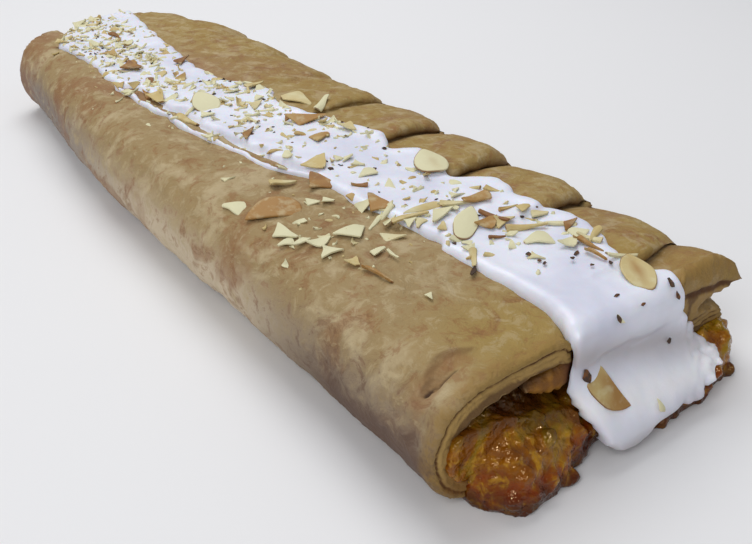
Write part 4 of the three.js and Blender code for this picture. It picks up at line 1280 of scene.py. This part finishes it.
def laid_by_hand(kind):
    """The bits of one kind whose place is known, as points that carry their turn and size."""
    rows = LAID[kind]
    mesh = bpy.data.meshes.new(kind + "_points")
    spots, turns, sizes, tones = [], [], [], []
    for k, (x, y, z, length, width, turn, tip, tone) in enumerate(rows):
        point, normal = on_bar((x, y, z))
        normal = (normal + Vector((0, 0, 1 if y > -3 else 0))).normalized()
        own = Euler((tip, 0, 0)).to_matrix() @ Matrix.Rotation(math.radians(turn), 3, "Z")
        level = (Vector((1, 0, 0)) - normal * normal.x).normalized()
        base = Matrix((level, normal.cross(level), normal)).transposed()
        clear = LAID_CLEAR + LAID_STEP * (k % 3) + 0.3 * width / 1000 * abs(tip)
        spots.append(point + normal * clear)
        turns.append((base @ own).to_euler())
        sizes.append((length / 1000, width / 1000, min(0.01, 1.5 * length / 1000)))
        tones.append(tone)
    mesh.from_pydata([tuple(p) for p in spots], [], [])
    for name, values in (("turn", turns), ("size", sizes)):
        layer = mesh.attributes.new(name, "FLOAT_VECTOR", "POINT")
        layer.data.foreach_set("vector", np.array(values).ravel())
    mark(mesh, "tone", tones)
    mesh.attributes.new("pick", "INT", "POINT").data.foreach_set("value", np.arange(len(rows)) % SHAPE_COUNT)
    return mesh


laying, strewing = laying_tree(), strewing_tree()
shapes = {kind: shapes_of(kind, range(1, SHAPE_COUNT + 1)) for kind in CUTS}


def sprinkled(piece, density):
    """A copy of a piece's skin that says how thickly almonds were strewn at each point."""
    skin = piece.data.copy()
    mark(skin, "sprinkle", density(*places(piece).T) * (directions(piece)[:, 2] > 0.75))
    return skin


SPRINKLED = [(18, 0), (36, 0.12), (60, 0.25), (100, 0.3), (140, 0.5), (180, 0.75), (220, 1)]


def on_icing(x, y, z):
    lump = ease(0.5 + 1.5 * unevenness(np.stack([x, y, z], axis=1), 22, 31))
    bare_side = ease((x - along(ICING_RIGHT, y) + 15) / 7) * ease((y - 210) / 30)
    return along(SPRINKLED, y) * (y > 6) * (0.45 + 0.55 * lump) * (1 - 0.8 * bare_side)


def on_flap(x, y, _):
    middle = np.exp(-(((x + 34) / 13) ** 2 + ((y - 82) / 22) ** 2))
    line = np.exp(-(((x + 14) / 7) ** 2 + ((y - 84) / 24) ** 2))
    spilt = 0.3 * bell(x, along(ICING_LEFT, y), 7) * ease((y - 60) / 30)
    return np.maximum(np.maximum(middle, line), spilt)


icing_bed_mesh, flap_bed_mesh = sprinkled(icing, on_icing), sprinkled(dough, on_flap)
almond_pieces = []
for kind in LAID:
    almond_pieces.append(grown_on(f"almond_{kind}s", laid_by_hand(kind), laying, {
        "Shapes": shapes[kind], "Finish": skin_finish if kind == "skin" else nut_finish}))
for name, bed, kind, finish, density, smallest, largest, narrow, deep, tilt, seed in (
        ("nut_bits_on_icing", icing_bed_mesh, "bit", nut_finish, 46000, 2.6, 7, 0.65, 9, 0.4, 3),
        ("nut_slivers_on_icing", icing_bed_mesh, "sliver", nut_finish, 16000, 4, 8, 0.28, 9, 0.5, 8),
        ("nut_crumbs_on_icing", icing_bed_mesh, "crumb", nut_finish, 60000, 1.0, 2.6, 0.8, 2, 0.9, 4),
        ("nut_skins_on_icing", icing_bed_mesh, "skin", skin_finish, 22000, 0.8, 2.2, 0.6, 6, 0.5, 5),
        ("nut_bits_on_flap", flap_bed_mesh, "bit", nut_finish, 12000, 1.6, 5, 0.6, 8, 0.4, 6),
        ("nut_crumbs_on_flap", flap_bed_mesh, "crumb", nut_finish, 30000, 0.6, 1.6, 0.8, 1.4, 0.9, 7)):
    almond_pieces.append(grown_on(name, bed, strewing, {
        "Shapes": shapes[kind], "Finish": finish, "Per Square Metre": float(density), "Deep": deep / 1000,
        "Smallest": smallest / 1000, "Largest": largest / 1000, "Narrow": narrow, "Tilt": tilt,
        "Seed": seed}))
for piece in almond_pieces:
    move_to(piece, places(piece))
    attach(piece, "root")

# The view: the photograph's camera, a pale floor and soft light from above.
YAW, PITCH, ROLL = 0.65323, 0.55216, 0.016202
FOCAL_PIXELS, PHOTO_PIXELS, FILM = 900, 752, 36
FLOOR_HALF, FLOOR_COLOUR = 3, (0.82, 0.82, 0.83, 1)
SKY_COLOUR, SKY_POWER = (0.95, 0.96, 1.0, 1), 0.36
ahead = Vector((math.sin(YAW) * math.cos(PITCH), math.cos(YAW) * math.cos(PITCH), -math.sin(PITCH)))
right = Vector((math.cos(YAW), -math.sin(YAW), 0))
up = right.cross(ahead)
right, up = (math.cos(ROLL) * right + math.sin(ROLL) * up, math.cos(ROLL) * up - math.sin(ROLL) * right)
lens = bpy.data.cameras.new("camera")
lens.sensor_width, lens.lens, lens.clip_start = FILM, FOCAL_PIXELS / PHOTO_PIXELS * FILM, 0.01
camera = shown("camera", lens)
camera.matrix_world = Matrix((right, up, -ahead)).transposed().to_4x4()
camera.location = (np.array(CAMERA_AT) + BAR_AT) / 1000
bpy.context.scene.camera = camera

floor_mesh = bpy.data.meshes.new("floor")
corners = [(x * FLOOR_HALF, y * FLOOR_HALF, 0) for x, y in ((-1, -1), (1, -1), (1, 1), (-1, 1))]
floor_mesh.from_pydata(corners, [], [(0, 1, 2, 3)])
floor = shown("floor", floor_mesh)
floor_mesh.materials.append(Finish("pale_floor", Base_Color=FLOOR_COLOUR, Roughness=0.6).material)

world = bpy.data.worlds.new("room")
bpy.context.scene.world = world
world.use_nodes = True
sky = world.node_tree.nodes["Background"].inputs
sky["Color"].default_value, sky["Strength"].default_value = SKY_COLOUR, SKY_POWER
bpy.context.scene.view_settings.view_transform = "Standard"
for name, place, size, power in (
        ("over", (0.15, 0.4, 0.9), 0.7, 5.6), ("front", (-0.85, -0.45, 0.85), 0.6, 5.2),
        ("glint", (-0.2, -0.5, 0.55), 0.06, 1.8)):
    lamp = bpy.data.lights.new(name, "AREA")
    lamp.size, lamp.energy = size, power
    light = shown(name, lamp)
    light.location = place
    light.visible_diffuse = name != "glint"
    light.rotation_euler = (-Vector(place)).to_track_quat("-Z", "Y").to_euler()
